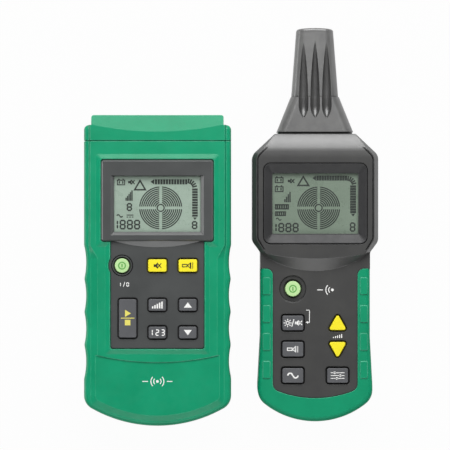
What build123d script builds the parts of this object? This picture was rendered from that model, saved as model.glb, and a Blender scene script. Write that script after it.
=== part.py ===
from build123d import *
import os
from math import sqrt

os.makedirs("parts", exist_ok=True)

# A cable tracker: a transmitter and a hand-held receiver, lying on their backs side by side.
# Millimetres. +X runs from the transmitter to the receiver, +Y to the probe tip, +Z out of the fronts.
# Each unit is measured from the middle of its own lower end; tx is the transmitter, rx the receiver.

# Placing of the pair
unit_gap = 12.9  # clear space between the two bodies
end_step = 2.4  # the transmitter's lower end stands this far below the receiver's

# Walls, fits and fasteners shared by both units
wall = 2.4  # case wall
seat_gap = 0.1  # side clearance of a piece dropped into its seat
panel_gap = 0.5  # line left open round the front panel and the display frame
lip_gap = 0.15  # side clearance of a locating lip
lip_wall = 1.2  # thickness of a locating lip
lip_height = 2.0  # how far a locating lip reaches into the other half
lip_relief = 1.0  # lip cut back from the case screws' bosses
screw_radius = 1.4  # case and door screws
screw_head_radius = 2.7
screw_head_height = 1.8
screw_sink = 0.6  # depth of a screw head below the back
thread_gap = 0.05  # radial clearance of a screw in its pilot hole
pass_gap = 0.25  # radial clearance of a screw or its head in a through hole
boss_wall = 2.0  # plastic round a case screw
driver_slot = 0.7  # width of the cross in a screw head
driver_depth = 0.9  # depth of the cross in a screw head
driver_margin = 0.8  # from that cross to the rim of the head
root = 0.6  # how far a lip or post is let into the wall it grows from

# Keys, switches and boards shared by both units
key_travel = 1.0
key_gap = 1.0  # side clearance of a key in its opening
key_flange = 0.7  # how far a key's flange reaches beyond its opening
key_flange_height = 1.0
key_corner = 1.1  # corner radius of a rectangular key
key_edge = 0.45  # rounding of a key's top edge
key_stem_radius = 2.0
key_stem_length = 2.0
dome_radius = 3.0
dome_height = 0.4
dome_gap = 0.1  # from a pressed key to its dome
mat_thickness = 1.0
mat_gap = 0.8  # radial clearance of a key stem in the mat
mat_margin = 0.1  # mat beyond the outermost key flange
board_thickness = 1.6
board_screw_radius = 1.1
board_screw_head_radius = 2.1
board_screw_head_height = 1.5
board_post_radius = 2.4
board_edge = 1.0  # board beyond its posts
board_screw_grip = 3.5  # length of a board screw in its post
lens_thickness = 1.2
lens_ledge = 2.0  # display window glass hidden under its frame, each side
display_thickness = 2.2
display_gap = 0.3  # air between the window and the display
opening_ledge = 1.5  # ledge that a front insert rests on, each side
buzzer_radius = 7.0
buzzer_height = 4.0
buzzer_hole_radius = 1.2
buzzer_hole_depth = 1.0

# Battery doors
door_thickness = 2.0
door_sink = 0.2  # door below the back
door_ledge = 2.5  # ledge that carries the door, each side
door_gap = 0.25  # side clearance of the door
door_corner = 2.5
door_screw_inset = 4.5  # from the door's upper edge to its screw
door_screw_room = 7.0  # door beyond the cells, for its screw
door_screw_length = 9.0
door_head_height = 1.0  # head of a door screw
ridge_count = 4  # finger ridges on a door
ridge_pitch = 2.5
ridge_width = 1.2
ridge_length = 16.0
ridge_depth = 0.5
ridge_inset = 7.5  # middle of the ridges from the door's lower edge
box_wall = 1.6  # walls round the cells
cell_gap = 0.3  # air round the cells

# Transmitter, outer form
tx_width = 90.0
tx_length = 190.0
tx_depth = 42.5  # back to the face of the display frame
tx_frame_rise = 2.5  # display frame above the green face
tx_face_height = 1.8  # green face above the shoulder of the case
tx_parting = 20.0  # height where the rear and front cases meet
tx_cap_length = 16.0  # upper end beyond the seam
tx_seam_gap = 0.5  # groove along the seam
tx_seam_depth = 0.8
tx_block_length = 6.0  # terminal block beyond the shoulders
tx_block_width = 80.8
tx_block_back = 3.0  # terminal block above the back
tx_block_drop = 2.4  # tip of the terminal block below the green face, on the middle line
tx_end_radius = 82.0  # sweep of the lower end
tx_end_corner = 9.0
tx_top_corner = 3.0
tx_back_round = 5.0
tx_shoulder_round = 3.0
tx_face_inset = 4.0  # edge of the green face from the side, beside the display
tx_grip_inset = 8.5  # the same beside the keys
tx_face_end = 8.2  # edge of the green face from the lower end
tx_face_corner = 4.0
tx_step_drop = 2.7  # start of the face's narrowing below the display frame
tx_step_length = 7.8
tx_collar_width = 2.6  # raised slope round the panel
tx_collar_rise = 0.8
tx_collar_rim = 1.0  # flat rim between that slope and the panel
tx_plate_drop = 8.7  # lower plate's edge below the panel, on the middle line
tx_plate_rise = 6.4  # how far that edge climbs to the sides
tx_plate_sink = 0.6
tx_scoop_dip = 4.4
tx_scoop_land = 5.7  # from the scoop's ends to the tip of the terminal block

# Finger grips on the transmitter's sides
scallop_count = 4
scallop_pitch = 20.2
scallop_depth = 1.3
scallop_crest = 0.15  # crests between the grips, below the side
scallop_blend = 5.0
scallop_drop = 2.6  # uppermost grip below the narrowing of the face

# Transmitter, front panel and keys
tx_panel_drop = 11.5  # panel's upper edge below the seam
tx_panel_rise = 0.3  # keypad above the green face
tx_panel_thickness = 1.6
tx_panel_corner = 1.5
tx_frame_width = 68.0
tx_frame_height = 49.4
tx_frame_edge = 0.9  # chamfer round the display frame
tx_keypad_width = 56.6
tx_keypad_height = 65.4
tx_brow_drop = 3.8  # slope below the display frame, on the middle line
tx_brow_width = 53.0
tx_window_width = 52.8
tx_window_height = 33.8
tx_window_drop = 10.0  # window below the frame's upper edge
tx_window_sink = 1.6  # window below the frame's face
tx_window_bevel = 2.0  # width of the slopes round the window
tx_window_brow = 0.6  # width of the slope above the window
tx_power_diameter = 8.8
tx_power_ring = 0.6  # width of the raised ring round the power key's opening
tx_power_ring_rise = 0.4
tx_power_groove = 0.7  # width of the groove round that ring
tx_power_groove_depth = 0.6
tx_power_bulge = 8.0  # radius of the panel's swelling round the power key
tx_power_inset = 6.8  # power key from the panel's side
tx_start_inset = 10.2  # start key from the panel's side
tx_right_inset = 9.7  # right-hand keys from the panel's side
tx_key_width = 10.6
tx_key_height = 7.2
tx_start_height = 23.4
tx_yellow_width = 11.2
tx_yellow_height = 7.6
tx_key_rise = 1.2  # key above the keypad
tx_low_row = 9.6  # rows above the panel's lower edge
tx_mid_row = 18.2
tx_high_row = 26.4
tx_top_row = 50.4

# Transmitter, inside and upper end
tx_board_reach = 9.0  # board beyond the panel, at each end
tx_board_inset = 2.5  # board narrower than the display frame, each side
tx_screw_low = 24.0  # lower case screws above the lower end
tx_screw_drop = 20.0  # upper case screws below the seam
tx_screw_length = 26.0
tx_boss_inset = 7.4  # case screws from the sides
socket_spacing = 38.0
socket_height = 18.0
socket_radius = 6.3
socket_flange = 1.6
socket_flange_length = 2.0
socket_length = 21.0
socket_bore = 2.0  # radius that takes a 4 mm plug
contact_wall = 1.0
contact_sink = 1.5  # contact below the socket's face
contact_flange = 1.0
contact_tail = 4.0  # contact beyond the socket's inner end
tx_torch_radius = 4.0
transformer_length = 20.0
transformer_width = 18.0
transformer_height = 11.0
winding_length = 14.0
winding_width = 25.0
winding_height = 6.0
transformer_x = 10.5
tx_buzzer_x = -16.0
cell9_length = 45.5
cell9_width = 26.5
cell9_height = 17.5
cell9_round = 2.0
stud_length = 3.0
stud_radius = 2.8
stud_spacing = 12.7
clip_thickness = 3.6
tx_cell_end = 16.0  # cells above the lower end

# Receiver, outer form
rx_length = 241.5
rx_depth = 38.5
rx_frame_rise = 0.5  # display frame above the head's face
rx_head_rise = 4.5  # head's face above the handle's
rx_parting = 17.0
rx_front_wall = 3.0  # handle's front, which carries the keys
rx_cone_length = 21.4
rx_cone_gap = 1.3  # groove between the nose cone and the head
rx_cone_groove = 2.6  # depth of that groove, front and back
rx_cone_side_groove = 0.6  # the same at the sides
rx_top_width = 49.6
rx_head_width = 77.2
rx_shoulder_drop = 13.0  # sloping shoulders of the head
rx_head_length = 65.8  # head's top to the lower end of its full width
rx_neck_length = 6.8  # from there down to the handle
rx_neck_rise = 22.3  # handle's upper end above the power key
rx_handle_width = 67.2
rx_flare_width = 70.4
rx_flare_y = 22.0
rx_waist_y = 52.0
rx_end_radius = 50.0
rx_end_corner = 11.0
rx_back_round = 4.0
rx_face_width = 72.0  # head's face inside the slope round it
rx_face_top_width = 45.0
rx_face_neck_width = 64.0
rx_face_neck_rise = 1.6  # corners of the face from those of the head
rx_face_low_rise = 1.3
rx_face_shoulder_drop = 0.9
rx_brow_length = 15.0  # upper part of the head's face, which curves back
rx_brow_fall = 4.6
rx_neck_round = 3.0
rx_head_round = 6.0
rx_top_round = 1.5
rx_side_blend = 20.0  # soft corners in the handle's sides
rx_chin_width = 60.0
rx_chin_drop = 3.7  # head's face below the neck, on the middle line
rx_chin_rise = 3.0  # how far the face's lower edge climbs to the sides
rx_chin_slope = 7.7  # width of the slope below the face, on the middle line
rx_chin_side_slope = 2.1  # the same at the sides
rx_groove_width = 0.8  # groove round the head's face
rx_groove_depth = 0.9
rx_groove_inset = 0.4  # groove from the edge of the face
rx_rib_rise = 0.8  # rib on the right side of the head
rx_rib_length = 37.0
rx_rib_height = 8.0
rx_rib_z = 7.0
rx_rib_drop = 21.0  # rib's upper end below the head's top

# Receiver, grip boot
boot_wall = 2.2
boot_drop = 10.0  # boot's upper end below the neck
boot_rise = 0.4  # boot above the handle's face
boot_round = 3.0
boot_lip = 1.4  # thickness of the boot's front and back borders
boot_back_gap = 0.3  # boot above the back
boot_back_border = 6.0
boot_top_round = 4.0
pad_count = 4
pad_pitch = 17.1
pad_height = 10.4
pad_reach = 3.8  # middle of a pad from the handle's side
pad_rise = 0.6
pad_root = 0.7  # pad's base inside the boot
pad_edge = 0.3  # rounding of a pad's top
pad_width = 4.6
pad_corner = 0.8
pad_low = 17.4  # lowest pad above the keypad's lower edge

# Receiver, front and keys
rx_keypad_width = 52.0
rx_keypad_end = 14.4  # keypad's lower edge above the lower end
rx_keypad_sweep = 64.0
rx_keypad_corner = 5.0
rx_frame_width = 62.8
rx_frame_height = 48.8
rx_frame_drop = 18.3  # display frame below the head's top
rx_frame_corner = 4.0
rx_frame_edge = 0.4
rx_frame_thickness = 4.5
rx_window_width = 52.6
rx_window_height = 37.0
rx_window_sink = 3.1  # window below the frame's edge
rx_window_ledge = 0.5  # flat ledge round the window
rx_window_lip = 0.6  # thickness of that ledge over the glass
rx_window_corner = 0.8
rx_power_diameter = 9.4
rx_power_dish = 2.6  # width of the dished ring round the power key
rx_power_dish_depth = 1.0
rx_key_column = 13.7  # keys from the middle line
rx_key_width = 12.8
rx_key_height = 9.0
rx_arrow_width = 11.2
rx_arrow_height = 10.0
rx_arrow_spread = 0.6  # arrow keys further apart than their rows
rx_key_rise = 1.2
rx_key_pitch = 16.1
rx_low_row = 13.9  # lowest keys above the keypad's lower edge
rx_power_row = 67.0

# Receiver, nose and inside
nose_height = 22.0  # probe axis above the back
cone_base_width = 47.0
cone_base_depth = 24.0
cone_top_width = 29.8
cone_top_depth = 21.5
nose_corner = 6.0
tip_base_width = 28.8
tip_base_depth = 20.5
tip_end_width = 22.8
tip_end_depth = 17.0
tip_crown = 2.4  # height of the tip's rounded end
tip_round = 1.6
flute_count = 3
flute_spacing = 7.1
flute_radius = 3.0
flute_start = 6.0  # flutes begin this far from the tip
flute_reach = 13.2  # flutes run this far into the cone
flute_bullet = 8.0  # rounded end of a flute
flute_lift = 0.25  # a flute's axis above the surface
spigot_width = 38.0
spigot_depth = 14.6
spigot_corner = 4.0
spigot_flange = 1.0
spigot_flange_length = 2.0
rod_radius = 4.0
rod_seat = 9.0  # depth of the rod's socket in the nose cone
rod_end_gap = 5.5  # rod's end from the tip's
rod_gap = 0.1
coil_radius = 6.2
coil_end_gap = 4.0  # coil's end from the rod's
coil_gap = 0.2
rx_torch_radius = 2.4
rx_torch_height = 6.8
torch_flange = 1.0
torch_length = 6.0
torch_sink = 0.5
torch_round = 1.2
rx_board_end = 16.0  # board above the lower end
rx_board_width = 44.0
rx_board_notch = 0.6  # board clear of the case screws' bosses
rx_board_rise = 4.0  # board's upper posts above the display frame
cell_radius = 5.25
cell_length = 44.5
cell_columns = 3
cells_in_line = 2
line_gap = 0.1  # between cells in line
contact_thickness = 0.5
contact_width = 8.0
nub_radius = 1.9
nub_length = 1.0
rx_cell_end = 22.0  # cells above the lower end
rx_screw_drop = 12.0  # upper case screws below the shoulders
rx_screw_inset = 6.2  # upper case screws from the head's sides
rx_screw_spacing = 24.0  # lower case screws apart
rx_screw_rise = 13.5  # lower case screws above the lower end
rx_screw_length = 22.0
rx_rail_margin = 3.0  # locating rails from the ends of the walls that carry them
near = 0.01  # reach of a search for a corner by its height

# Places worked out from the driving dimensions
pair_width = tx_width + unit_gap + rx_head_width + rx_rib_rise
pair_length = max(tx_length, end_step + rx_length)
tx = Plane(origin=((tx_width - pair_width) / 2, -pair_length / 2, 0))
rx_x = (pair_width - rx_head_width) / 2 - rx_rib_rise
rx = Plane(origin=(rx_x, end_step - pair_length / 2, 0))


def across(unit, y):
    # Upright plane across a unit, facing its lower end; its own x and y are the unit's x and z
    return Plane(origin=unit.origin + Vector(0, y, 0), x_dir=(1, 0, 0), z_dir=(0, -1, 0))


def along(unit, x):
    # Upright plane along a unit, facing +X; its own x and y are the unit's y and z
    return Plane(origin=unit.origin + Vector(x, 0, 0), x_dir=(0, 1, 0), z_dir=(1, 0, 0))


def save(piece, name):
    piece.part.label = name
    export_step(piece.part, f"parts/{name}.step")


def arc_height(radius, half_chord):
    return radius - sqrt(radius**2 - half_chord**2)


def key_shape(kind, width, height, margin):
    # Outline of a key about its own middle, grown by margin
    if kind == "round":
        Circle(width / 2 + margin)
    elif kind == "block":
        RectangleRounded(width + 2 * margin, height + 2 * margin, key_corner + margin)
    else:
        # A triangle that points up or down; its sides move out by margin
        side = sqrt(height**2 + (width / 2) ** 2)
        tall = height + margin + margin * side / (width / 2)
        base = tall * width / height / 2
        way = 1 if kind == "up" else -1
        low = -height / 2 - margin
        Polygon((-base, way * low), (base, way * low), (0, way * (low + tall)), align=None)


def key_openings(unit, keys, floor, height, margin):
    # Straight shafts through a front, one for each key
    with BuildPart() as shafts:
        for kind, x, y, width, height_of_key in keys.values():
            with BuildSketch(unit.offset(floor)) as opening:
                with Locations((x, y)):
                    key_shape(kind, width, height_of_key, margin)
                if kind in ("up", "down"):
                    fillet(opening.vertices(), key_corner + margin)
            extrude(amount=height)
    return shafts.part


def make_keys(unit, keys, underside, top):
    # Each key has a cap in its opening, a flange under the front and a stem above its switch
    for name, (kind, x, y, width, height) in keys.items():
        with BuildPart() as key:
            with BuildSketch(unit.offset(underside)) as cap:
                with Locations((x, y)):
                    key_shape(kind, width, height, 0)
                if kind in ("up", "down"):
                    fillet(cap.vertices(), key_corner)
            extrude(amount=top - underside)
            fillet(key.edges().group_by(Axis.Z)[-1], key_edge)
            with BuildSketch(unit.offset(underside - key_flange_height)) as flange:
                with Locations((x, y)):
                    key_shape(kind, width, height, key_gap + key_flange)
                if kind in ("up", "down"):
                    fillet(flange.vertices(), key_corner + key_gap + key_flange)
            extrude(amount=key_flange_height)
            with BuildSketch(unit.offset(underside - key_flange_height - key_stem_length)):
                with Locations((x, y)):
                    Circle(key_stem_radius)
            extrude(amount=key_stem_length)
        save(key, name)


def make_key_mat(unit, keys, board_top, name):
    # A soft sheet on the board, open round each key's stem
    reach = key_gap + key_flange + mat_margin
    left = min(x - width / 2 for _, x, _, width, _ in keys.values()) - reach
    right = max(x + width / 2 for _, x, _, width, _ in keys.values()) + reach
    low = min(y - height / 2 for _, _, y, _, height in keys.values()) - reach
    high = max(y + height / 2 for _, _, y, _, height in keys.values()) + reach
    with BuildPart() as mat:
        with BuildSketch(unit.offset(board_top)):
            with Locations(((left + right) / 2, (low + high) / 2)):
                RectangleRounded(right - left, high - low, key_corner)
            with Locations(*[(x, y) for _, x, y, _, _ in keys.values()]):
                Circle(max(dome_radius, key_stem_radius) + mat_gap, mode=Mode.SUBTRACT)
        extrude(amount=mat_thickness)
    save(mat, name)


def make_domes(unit, keys, board_top, name):
    # One springy switch dome on the board under each key
    with BuildPart() as domes:
        with BuildSketch(unit.offset(board_top)):
            with Locations(*[(x, y) for _, x, y, _, _ in keys.values()]):
                Circle(dome_radius)
        extrude(amount=dome_height, taper=60)
    save(domes, name)


def make_screws(unit, points, head_floor, head_radius, head_height, shank_radius, length, name):
    # Screws driven upwards, with a cross cut into each head
    with BuildPart() as screws:
        with BuildSketch(unit.offset(head_floor)):
            with Locations(*points):
                Circle(head_radius)
        extrude(amount=head_height)
        with BuildSketch(unit.offset(head_floor)):
            with Locations(*points):
                Rectangle(2 * (head_radius - driver_margin), driver_slot)
                Rectangle(driver_slot, 2 * (head_radius - driver_margin))
        extrude(amount=min(driver_depth, head_height / 2), mode=Mode.SUBTRACT)
        with BuildSketch(unit.offset(head_floor + head_height)):
            with Locations(*points):
                Circle(shank_radius)
        extrude(amount=length)
    save(screws, name)


def make_door(unit, centre, size, name):
    # Battery door with a sunk hole for its screw and finger ridges
    x, y = centre
    width, height = size
    screw_y = y + height / 2 - door_screw_inset
    with BuildPart() as door:
        with BuildSketch(unit.offset(door_sink)):
            with Locations((x, y)):
                RectangleRounded(width, height, door_corner)
        extrude(amount=door_thickness)
        with BuildSketch(unit.offset(door_sink)):
            with Locations((x, screw_y)):
                Circle(screw_head_radius + pass_gap)
        extrude(amount=door_head_height, mode=Mode.SUBTRACT)
        with BuildSketch(unit.offset(door_sink)):
            with Locations((x, screw_y)):
                Circle(screw_radius + pass_gap)
        extrude(amount=door_thickness, mode=Mode.SUBTRACT)
        with BuildSketch(unit.offset(door_sink)):
            with Locations((x, y - height / 2 + ridge_inset)):
                with GridLocations(0, ridge_pitch, 1, ridge_count):
                    SlotOverall(ridge_length, ridge_width)
        extrude(amount=ridge_depth, mode=Mode.SUBTRACT)
    save(door, name)
    return x, screw_y


# Transmitter heights, from the front down to the board
tx_face_z = tx_depth - tx_frame_rise
tx_shoulder_z = tx_face_z - tx_face_height
tx_block_z = tx_face_z - tx_block_drop
tx_ceiling_z = tx_face_z - wall
tx_keypad_z = tx_face_z + tx_panel_rise
tx_seat_z = tx_keypad_z - tx_panel_thickness
tx_key_top_z = tx_keypad_z + tx_key_rise
tx_stem_z = tx_seat_z - key_flange_height - key_stem_length
tx_board_z = tx_stem_z - key_travel - dome_gap - dome_height
tx_board_back_z = tx_board_z - board_thickness
tx_lens_z = tx_depth - tx_window_sink

# Transmitter distances from its lower end
tx_seam_y = tx_length - tx_cap_length
tx_shoulder_y = tx_length - tx_block_length
tx_frame_top_y = tx_seam_y - tx_panel_drop
tx_frame_low_y = tx_frame_top_y - tx_frame_height
tx_panel_low_y = tx_frame_low_y - tx_keypad_height
tx_step_high_y = tx_frame_low_y - tx_step_drop
tx_step_low_y = tx_step_high_y - tx_step_length
tx_window_y = tx_frame_top_y - tx_window_drop - tx_window_height / 2

tx_power_x = tx_power_inset - tx_keypad_width / 2
tx_start_x = tx_start_inset - tx_keypad_width / 2
tx_right_x = tx_keypad_width / 2 - tx_right_inset
tx_low_key_y = tx_panel_low_y + tx_low_row
tx_mid_key_y = tx_panel_low_y + tx_mid_row
tx_high_key_y = tx_panel_low_y + tx_high_row
tx_top_key_y = tx_panel_low_y + tx_top_row

# Keys: kind, x, y, width, height
tx_keys = {
    "transmitter_power_key": ("round", tx_power_x, tx_top_key_y, tx_power_diameter, tx_power_diameter),
    "transmitter_mute_key": ("block", 0, tx_top_key_y, tx_yellow_width, tx_yellow_height),
    "transmitter_torch_key": ("block", tx_right_x, tx_top_key_y, tx_yellow_width, tx_yellow_height),
    "transmitter_start_key": ("block", tx_start_x, tx_mid_key_y, tx_key_width, tx_start_height),
    "transmitter_level_key": ("block", 0, tx_high_key_y, tx_key_width, tx_key_height),
    "transmitter_up_key": ("block", tx_right_x, tx_high_key_y, tx_key_width, tx_key_height),
    "transmitter_code_key": ("block", 0, tx_low_key_y, tx_key_width, tx_key_height),
    "transmitter_down_key": ("block", tx_right_x, tx_low_key_y, tx_key_width, tx_key_height),
}


def tx_outline(inset, top_y):
    # Plan outline of the transmitter, brought in by inset: straight sides and a swept lower end
    half = tx_width / 2 - inset
    sweep = tx_end_radius - inset
    corner_y = inset + arc_height(sweep, half)
    with BuildSketch() as outline:
        with BuildLine():
            ThreePointArc((-half, corner_y), (0, inset), (half, corner_y))
            Polyline((half, corner_y), (half, top_y), (-half, top_y), (-half, corner_y))
        make_face()
        fillet(outline.vertices().group_by(Axis.Y)[0], tx_end_corner - min(inset, tx_end_corner / 2))
    return outline.sketch


def tx_face_outline(upper_half, lower_half, end_y, top_y):
    # Plan outline of the raised front: wide beside the display, narrow beside the keys
    sweep = tx_end_radius - end_y
    corner_y = end_y + arc_height(sweep, lower_half)
    with BuildSketch() as outline:
        with BuildLine():
            ThreePointArc((-lower_half, corner_y), (0, end_y), (lower_half, corner_y))
            Polyline(
                (lower_half, corner_y),
                (lower_half, tx_step_low_y),
                (upper_half, tx_step_high_y),
                (upper_half, top_y),
                (-upper_half, top_y),
                (-upper_half, tx_step_high_y),
                (-lower_half, tx_step_low_y),
                (-lower_half, corner_y),
            )
        make_face()
        fillet(outline.vertices().group_by(Axis.Y)[0], tx_face_corner)
    return outline.sketch


def tx_panel_outline(margin):
    # Plan outline of the front panel, grown by margin: the display frame above the narrower keypad
    frame_half = tx_frame_width / 2 + margin
    keypad_half = tx_keypad_width / 2 + margin
    with BuildSketch() as outline:
        with BuildLine():
            Polyline(
                (-keypad_half, tx_panel_low_y - margin),
                (keypad_half, tx_panel_low_y - margin),
                (keypad_half, tx_frame_low_y - margin),
                (frame_half, tx_frame_low_y - margin),
                (frame_half, tx_frame_top_y + margin),
                (-frame_half, tx_frame_top_y + margin),
                (-frame_half, tx_frame_low_y - margin),
                (-keypad_half, tx_frame_low_y - margin),
                close=True,
            )
        make_face()
        outer = outline.vertices().group_by(Axis.X)
        fillet(outer[0] + outer[-1] + outline.vertices().group_by(Axis.Y)[0], tx_panel_corner)
    return outline.sketch


def tx_hollow(inset):
    # Space inside the transmitter's walls, brought in further by inset
    gap = wall + inset
    upper = tx_width / 2 - tx_shoulder_round - gap
    lower = upper - scallop_depth
    with BuildPart() as hollow:
        with BuildSketch(tx.offset(gap)):
            add(tx_outline(gap + scallop_depth, tx_shoulder_y - gap))
        extrude(amount=tx_shoulder_z - 2 * gap)
        with BuildSketch(tx.offset(tx_shoulder_z - gap)):
            add(tx_face_outline(upper, lower, tx_shoulder_round + gap, tx_shoulder_y - gap))
        with BuildSketch(tx.offset(tx_face_z - gap)):
            upper_edge = tx_width / 2 - tx_face_inset - gap
            lower_edge = tx_width / 2 - tx_grip_inset - gap
            add(tx_face_outline(upper_edge, lower_edge, tx_face_end + gap, tx_scoop_y - gap))
        loft(ruled=True)
        with BuildSketch(tx.offset(tx_block_back + gap)):
            with Locations((0, tx_length - gap)):
                block = (tx_block_width - 2 * gap, tx_cap_length)
                Rectangle(*block, align=(Align.CENTER, Align.MAX))
        extrude(amount=tx_block_z - tx_block_back - 2 * gap)
    return hollow.part


# Transmitter's whole outer form, later parted into its cases and cap
tx_scoop_y = tx_length - tx_scoop_land - tx_scoop_dip
scallop_fall = scallop_depth - scallop_crest
scallop_radius = ((scallop_pitch / 2) ** 2 + scallop_fall**2) / (2 * scallop_fall)
scallop_x = tx_width / 2 + scallop_radius - scallop_depth
scallop_rows = [tx_step_low_y - scallop_drop - row * scallop_pitch for row in range(scallop_count)]

with BuildPart() as tx_form:
    with BuildSketch(tx) as plan:
        add(tx_outline(0, tx_shoulder_y))
        fillet(plan.vertices().group_by(Axis.Y)[-1], tx_top_corner)
        with Locations(*[(side * scallop_x, y) for side in (-1, 1) for y in scallop_rows]):
            Circle(scallop_radius, mode=Mode.SUBTRACT)
        low_cusp = scallop_rows[-1] - scallop_pitch / 2
        high_cusp = scallop_rows[0] + scallop_pitch / 2
        fillet(plan.vertices().filter_by_position(Axis.Y, low_cusp, high_cusp), scallop_blend)
    extrude(amount=tx_shoulder_z)
    fillet(tx_form.faces().sort_by(Axis.Z)[0].edges(), tx_back_round)
    fillet(tx_form.faces().sort_by(Axis.Z)[-1].edges(), tx_shoulder_round)
    # Terminal block at the upper end
    with BuildSketch(tx.offset(tx_block_back)) as block:
        with Locations((0, tx_length)):
            Rectangle(tx_block_width, tx_cap_length, align=(Align.CENTER, Align.MAX))
        fillet(block.vertices().group_by(Axis.Y)[-1], tx_top_corner / 2)
    extrude(amount=tx_face_z - tx_block_back)
    # Raised front with sloping flanks
    with BuildSketch(tx.offset(tx_shoulder_z)):
        base = tx_width / 2 - tx_shoulder_round
        add(tx_face_outline(base, base - scallop_depth, tx_shoulder_round, tx_shoulder_y))
    with BuildSketch(tx.offset(tx_face_z)):
        upper_edge = tx_width / 2 - tx_face_inset
        lower_edge = tx_width / 2 - tx_grip_inset
        add(tx_face_outline(upper_edge, lower_edge, tx_face_end, tx_shoulder_y))
    loft(ruled=True)
    # Scoop in the upper end: an arc carried back and down to the block's tip
    with BuildSketch(tx.offset(tx_face_z)):
        half = tx_block_width / 2
        sweep = (half**2 + tx_scoop_dip**2) / (2 * tx_scoop_dip)
        with Locations((0, tx_scoop_y + sweep)):
            Circle(sweep)
    scoop_run = tx_scoop_land + tx_scoop_dip
    extrude(amount=2 * scoop_run, dir=(0, scoop_run, -tx_block_drop), mode=Mode.SUBTRACT)


# Transmitter cases
tx_bosses = [
    (side * (tx_width / 2 - tx_boss_inset), y)
    for side in (-1, 1)
    for y in (tx_screw_low, tx_seam_y - tx_screw_drop)
]
boss_radius = screw_radius + boss_wall
tx_board_half = tx_frame_width / 2 - tx_board_inset
tx_board_low_y = tx_panel_low_y - tx_board_reach
tx_board_high_y = tx_frame_top_y + tx_board_reach
post_inset = board_post_radius + board_edge
tx_posts = [
    (side * (tx_board_half - post_inset), y)
    for side in (-1, 1)
    for y in (tx_board_low_y + post_inset, tx_board_high_y - post_inset)
]
tx_space = tx_hollow(0)

with BuildPart() as tx_front_case:
    add(tx_form.part)
    # Raised slope round the panel
    with BuildSketch(tx.offset(tx_face_z - tx_collar_rise)):
        add(tx_panel_outline(tx_collar_rim + 2 * tx_collar_width))
    with BuildSketch(tx.offset(tx_face_z + tx_collar_rise)):
        add(tx_panel_outline(tx_collar_rim))
    loft(ruled=True)
    # Lower plate, sunk below an arched edge
    with BuildSketch(tx.offset(tx_face_z - tx_plate_sink)):
        plate_y = tx_panel_low_y - tx_plate_drop
        with BuildLine():
            half = tx_width / 2
            ThreePointArc((-half, plate_y + tx_plate_rise), (0, plate_y), (half, plate_y + tx_plate_rise))
            Polyline((half, plate_y + tx_plate_rise), (half, 0), (-half, 0), (-half, plate_y + tx_plate_rise))
        make_face()
    extrude(amount=tx_face_height, mode=Mode.SUBTRACT)
    split(bisect_by=tx.offset(tx_parting), keep=Keep.TOP)
    split(bisect_by=across(tx, tx_seam_y), keep=Keep.TOP)
    add(tx_space, mode=Mode.SUBTRACT)
    with BuildSketch(tx.offset(tx_parting)):
        with Locations(*tx_bosses):
            Circle(boss_radius)
    extrude(amount=tx_ceiling_z + root - tx_parting)
    with BuildSketch(tx.offset(tx_parting)):
        with Locations(*tx_bosses):
            Circle(screw_radius + thread_gap)
    extrude(amount=tx_shoulder_z - tx_parting - wall, mode=Mode.SUBTRACT)
    with BuildSketch(tx.offset(tx_board_z)):
        with Locations(*tx_posts):
            Circle(board_post_radius)
    extrude(amount=tx_ceiling_z - tx_board_z + root)
    with BuildSketch(tx.offset(tx_board_z)):
        with Locations(*tx_posts):
            Circle(board_screw_radius + thread_gap)
    extrude(amount=board_screw_grip + thread_gap, mode=Mode.SUBTRACT)
    # Seat and opening for the panel
    with BuildSketch(tx.offset(tx_seat_z)):
        add(tx_panel_outline(panel_gap))
        with Locations((tx_power_x, tx_top_key_y)):
            Circle(tx_power_bulge + panel_gap)
    extrude(amount=tx_depth - tx_seat_z, mode=Mode.SUBTRACT)
    with BuildSketch(tx.offset(tx_ceiling_z)):
        add(tx_panel_outline(-opening_ledge))
        with Locations((tx_power_x, tx_top_key_y)):
            Circle(tx_power_bulge - opening_ledge)
    extrude(amount=tx_seat_z - tx_ceiling_z, mode=Mode.SUBTRACT)
save(tx_front_case, "transmitter_front_case")

# Battery space of the transmitter: one block cell lying across the unit, with its clip at one end
tx_cell_z = door_sink + door_thickness + cell_gap
tx_cell_y = tx_cell_end + cell9_width / 2
tx_box_size = (cell9_length + clip_thickness, cell9_width + 2 * cell_gap)
tx_box_top = tx_cell_z + cell9_height + cell_gap
tx_door_size = (tx_box_size[0] + 2 * door_ledge, tx_box_size[1] + 2 * door_ledge + door_screw_room)
tx_door_y = tx_cell_end - cell_gap - door_ledge + tx_door_size[1] / 2


def battery_space(unit, box_y, box_size, box_top, door_y, door_size):
    # Walls round the cells and under the door's edge, and the room cut out of them
    door_top = door_sink + door_thickness
    screw_at = (0, door_y + door_size[1] / 2 - door_screw_inset)
    with BuildPart() as walls:
        with BuildSketch(unit.offset(door_sink)):
            with Locations((0, box_y)):
                Rectangle(box_size[0] + 2 * box_wall, box_size[1] + 2 * box_wall)
        extrude(amount=box_top + box_wall - door_sink)
        with BuildSketch(unit.offset(door_sink)):
            with Locations((0, door_y)):
                Rectangle(door_size[0] + 2 * box_wall, door_size[1] + 2 * box_wall)
        extrude(amount=door_thickness + box_wall)
        with BuildSketch(unit.offset(door_sink)):
            with Locations(screw_at):
                Circle(boss_radius)
        extrude(amount=door_thickness + door_screw_length + box_wall)
    with BuildPart() as room:
        with BuildSketch(unit):
            with Locations((0, box_y)):
                Rectangle(*box_size)
        extrude(amount=box_top)
        with BuildSketch(unit):
            with Locations((0, door_y)):
                opening = (door_size[0] + 2 * door_gap, door_size[1] + 2 * door_gap)
                RectangleRounded(*opening, door_corner + door_gap)
        extrude(amount=door_top)
        with BuildSketch(unit):
            with Locations(screw_at):
                Circle(screw_radius + pass_gap)
        extrude(amount=door_top + door_screw_length)
    return walls.part, room.part


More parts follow.
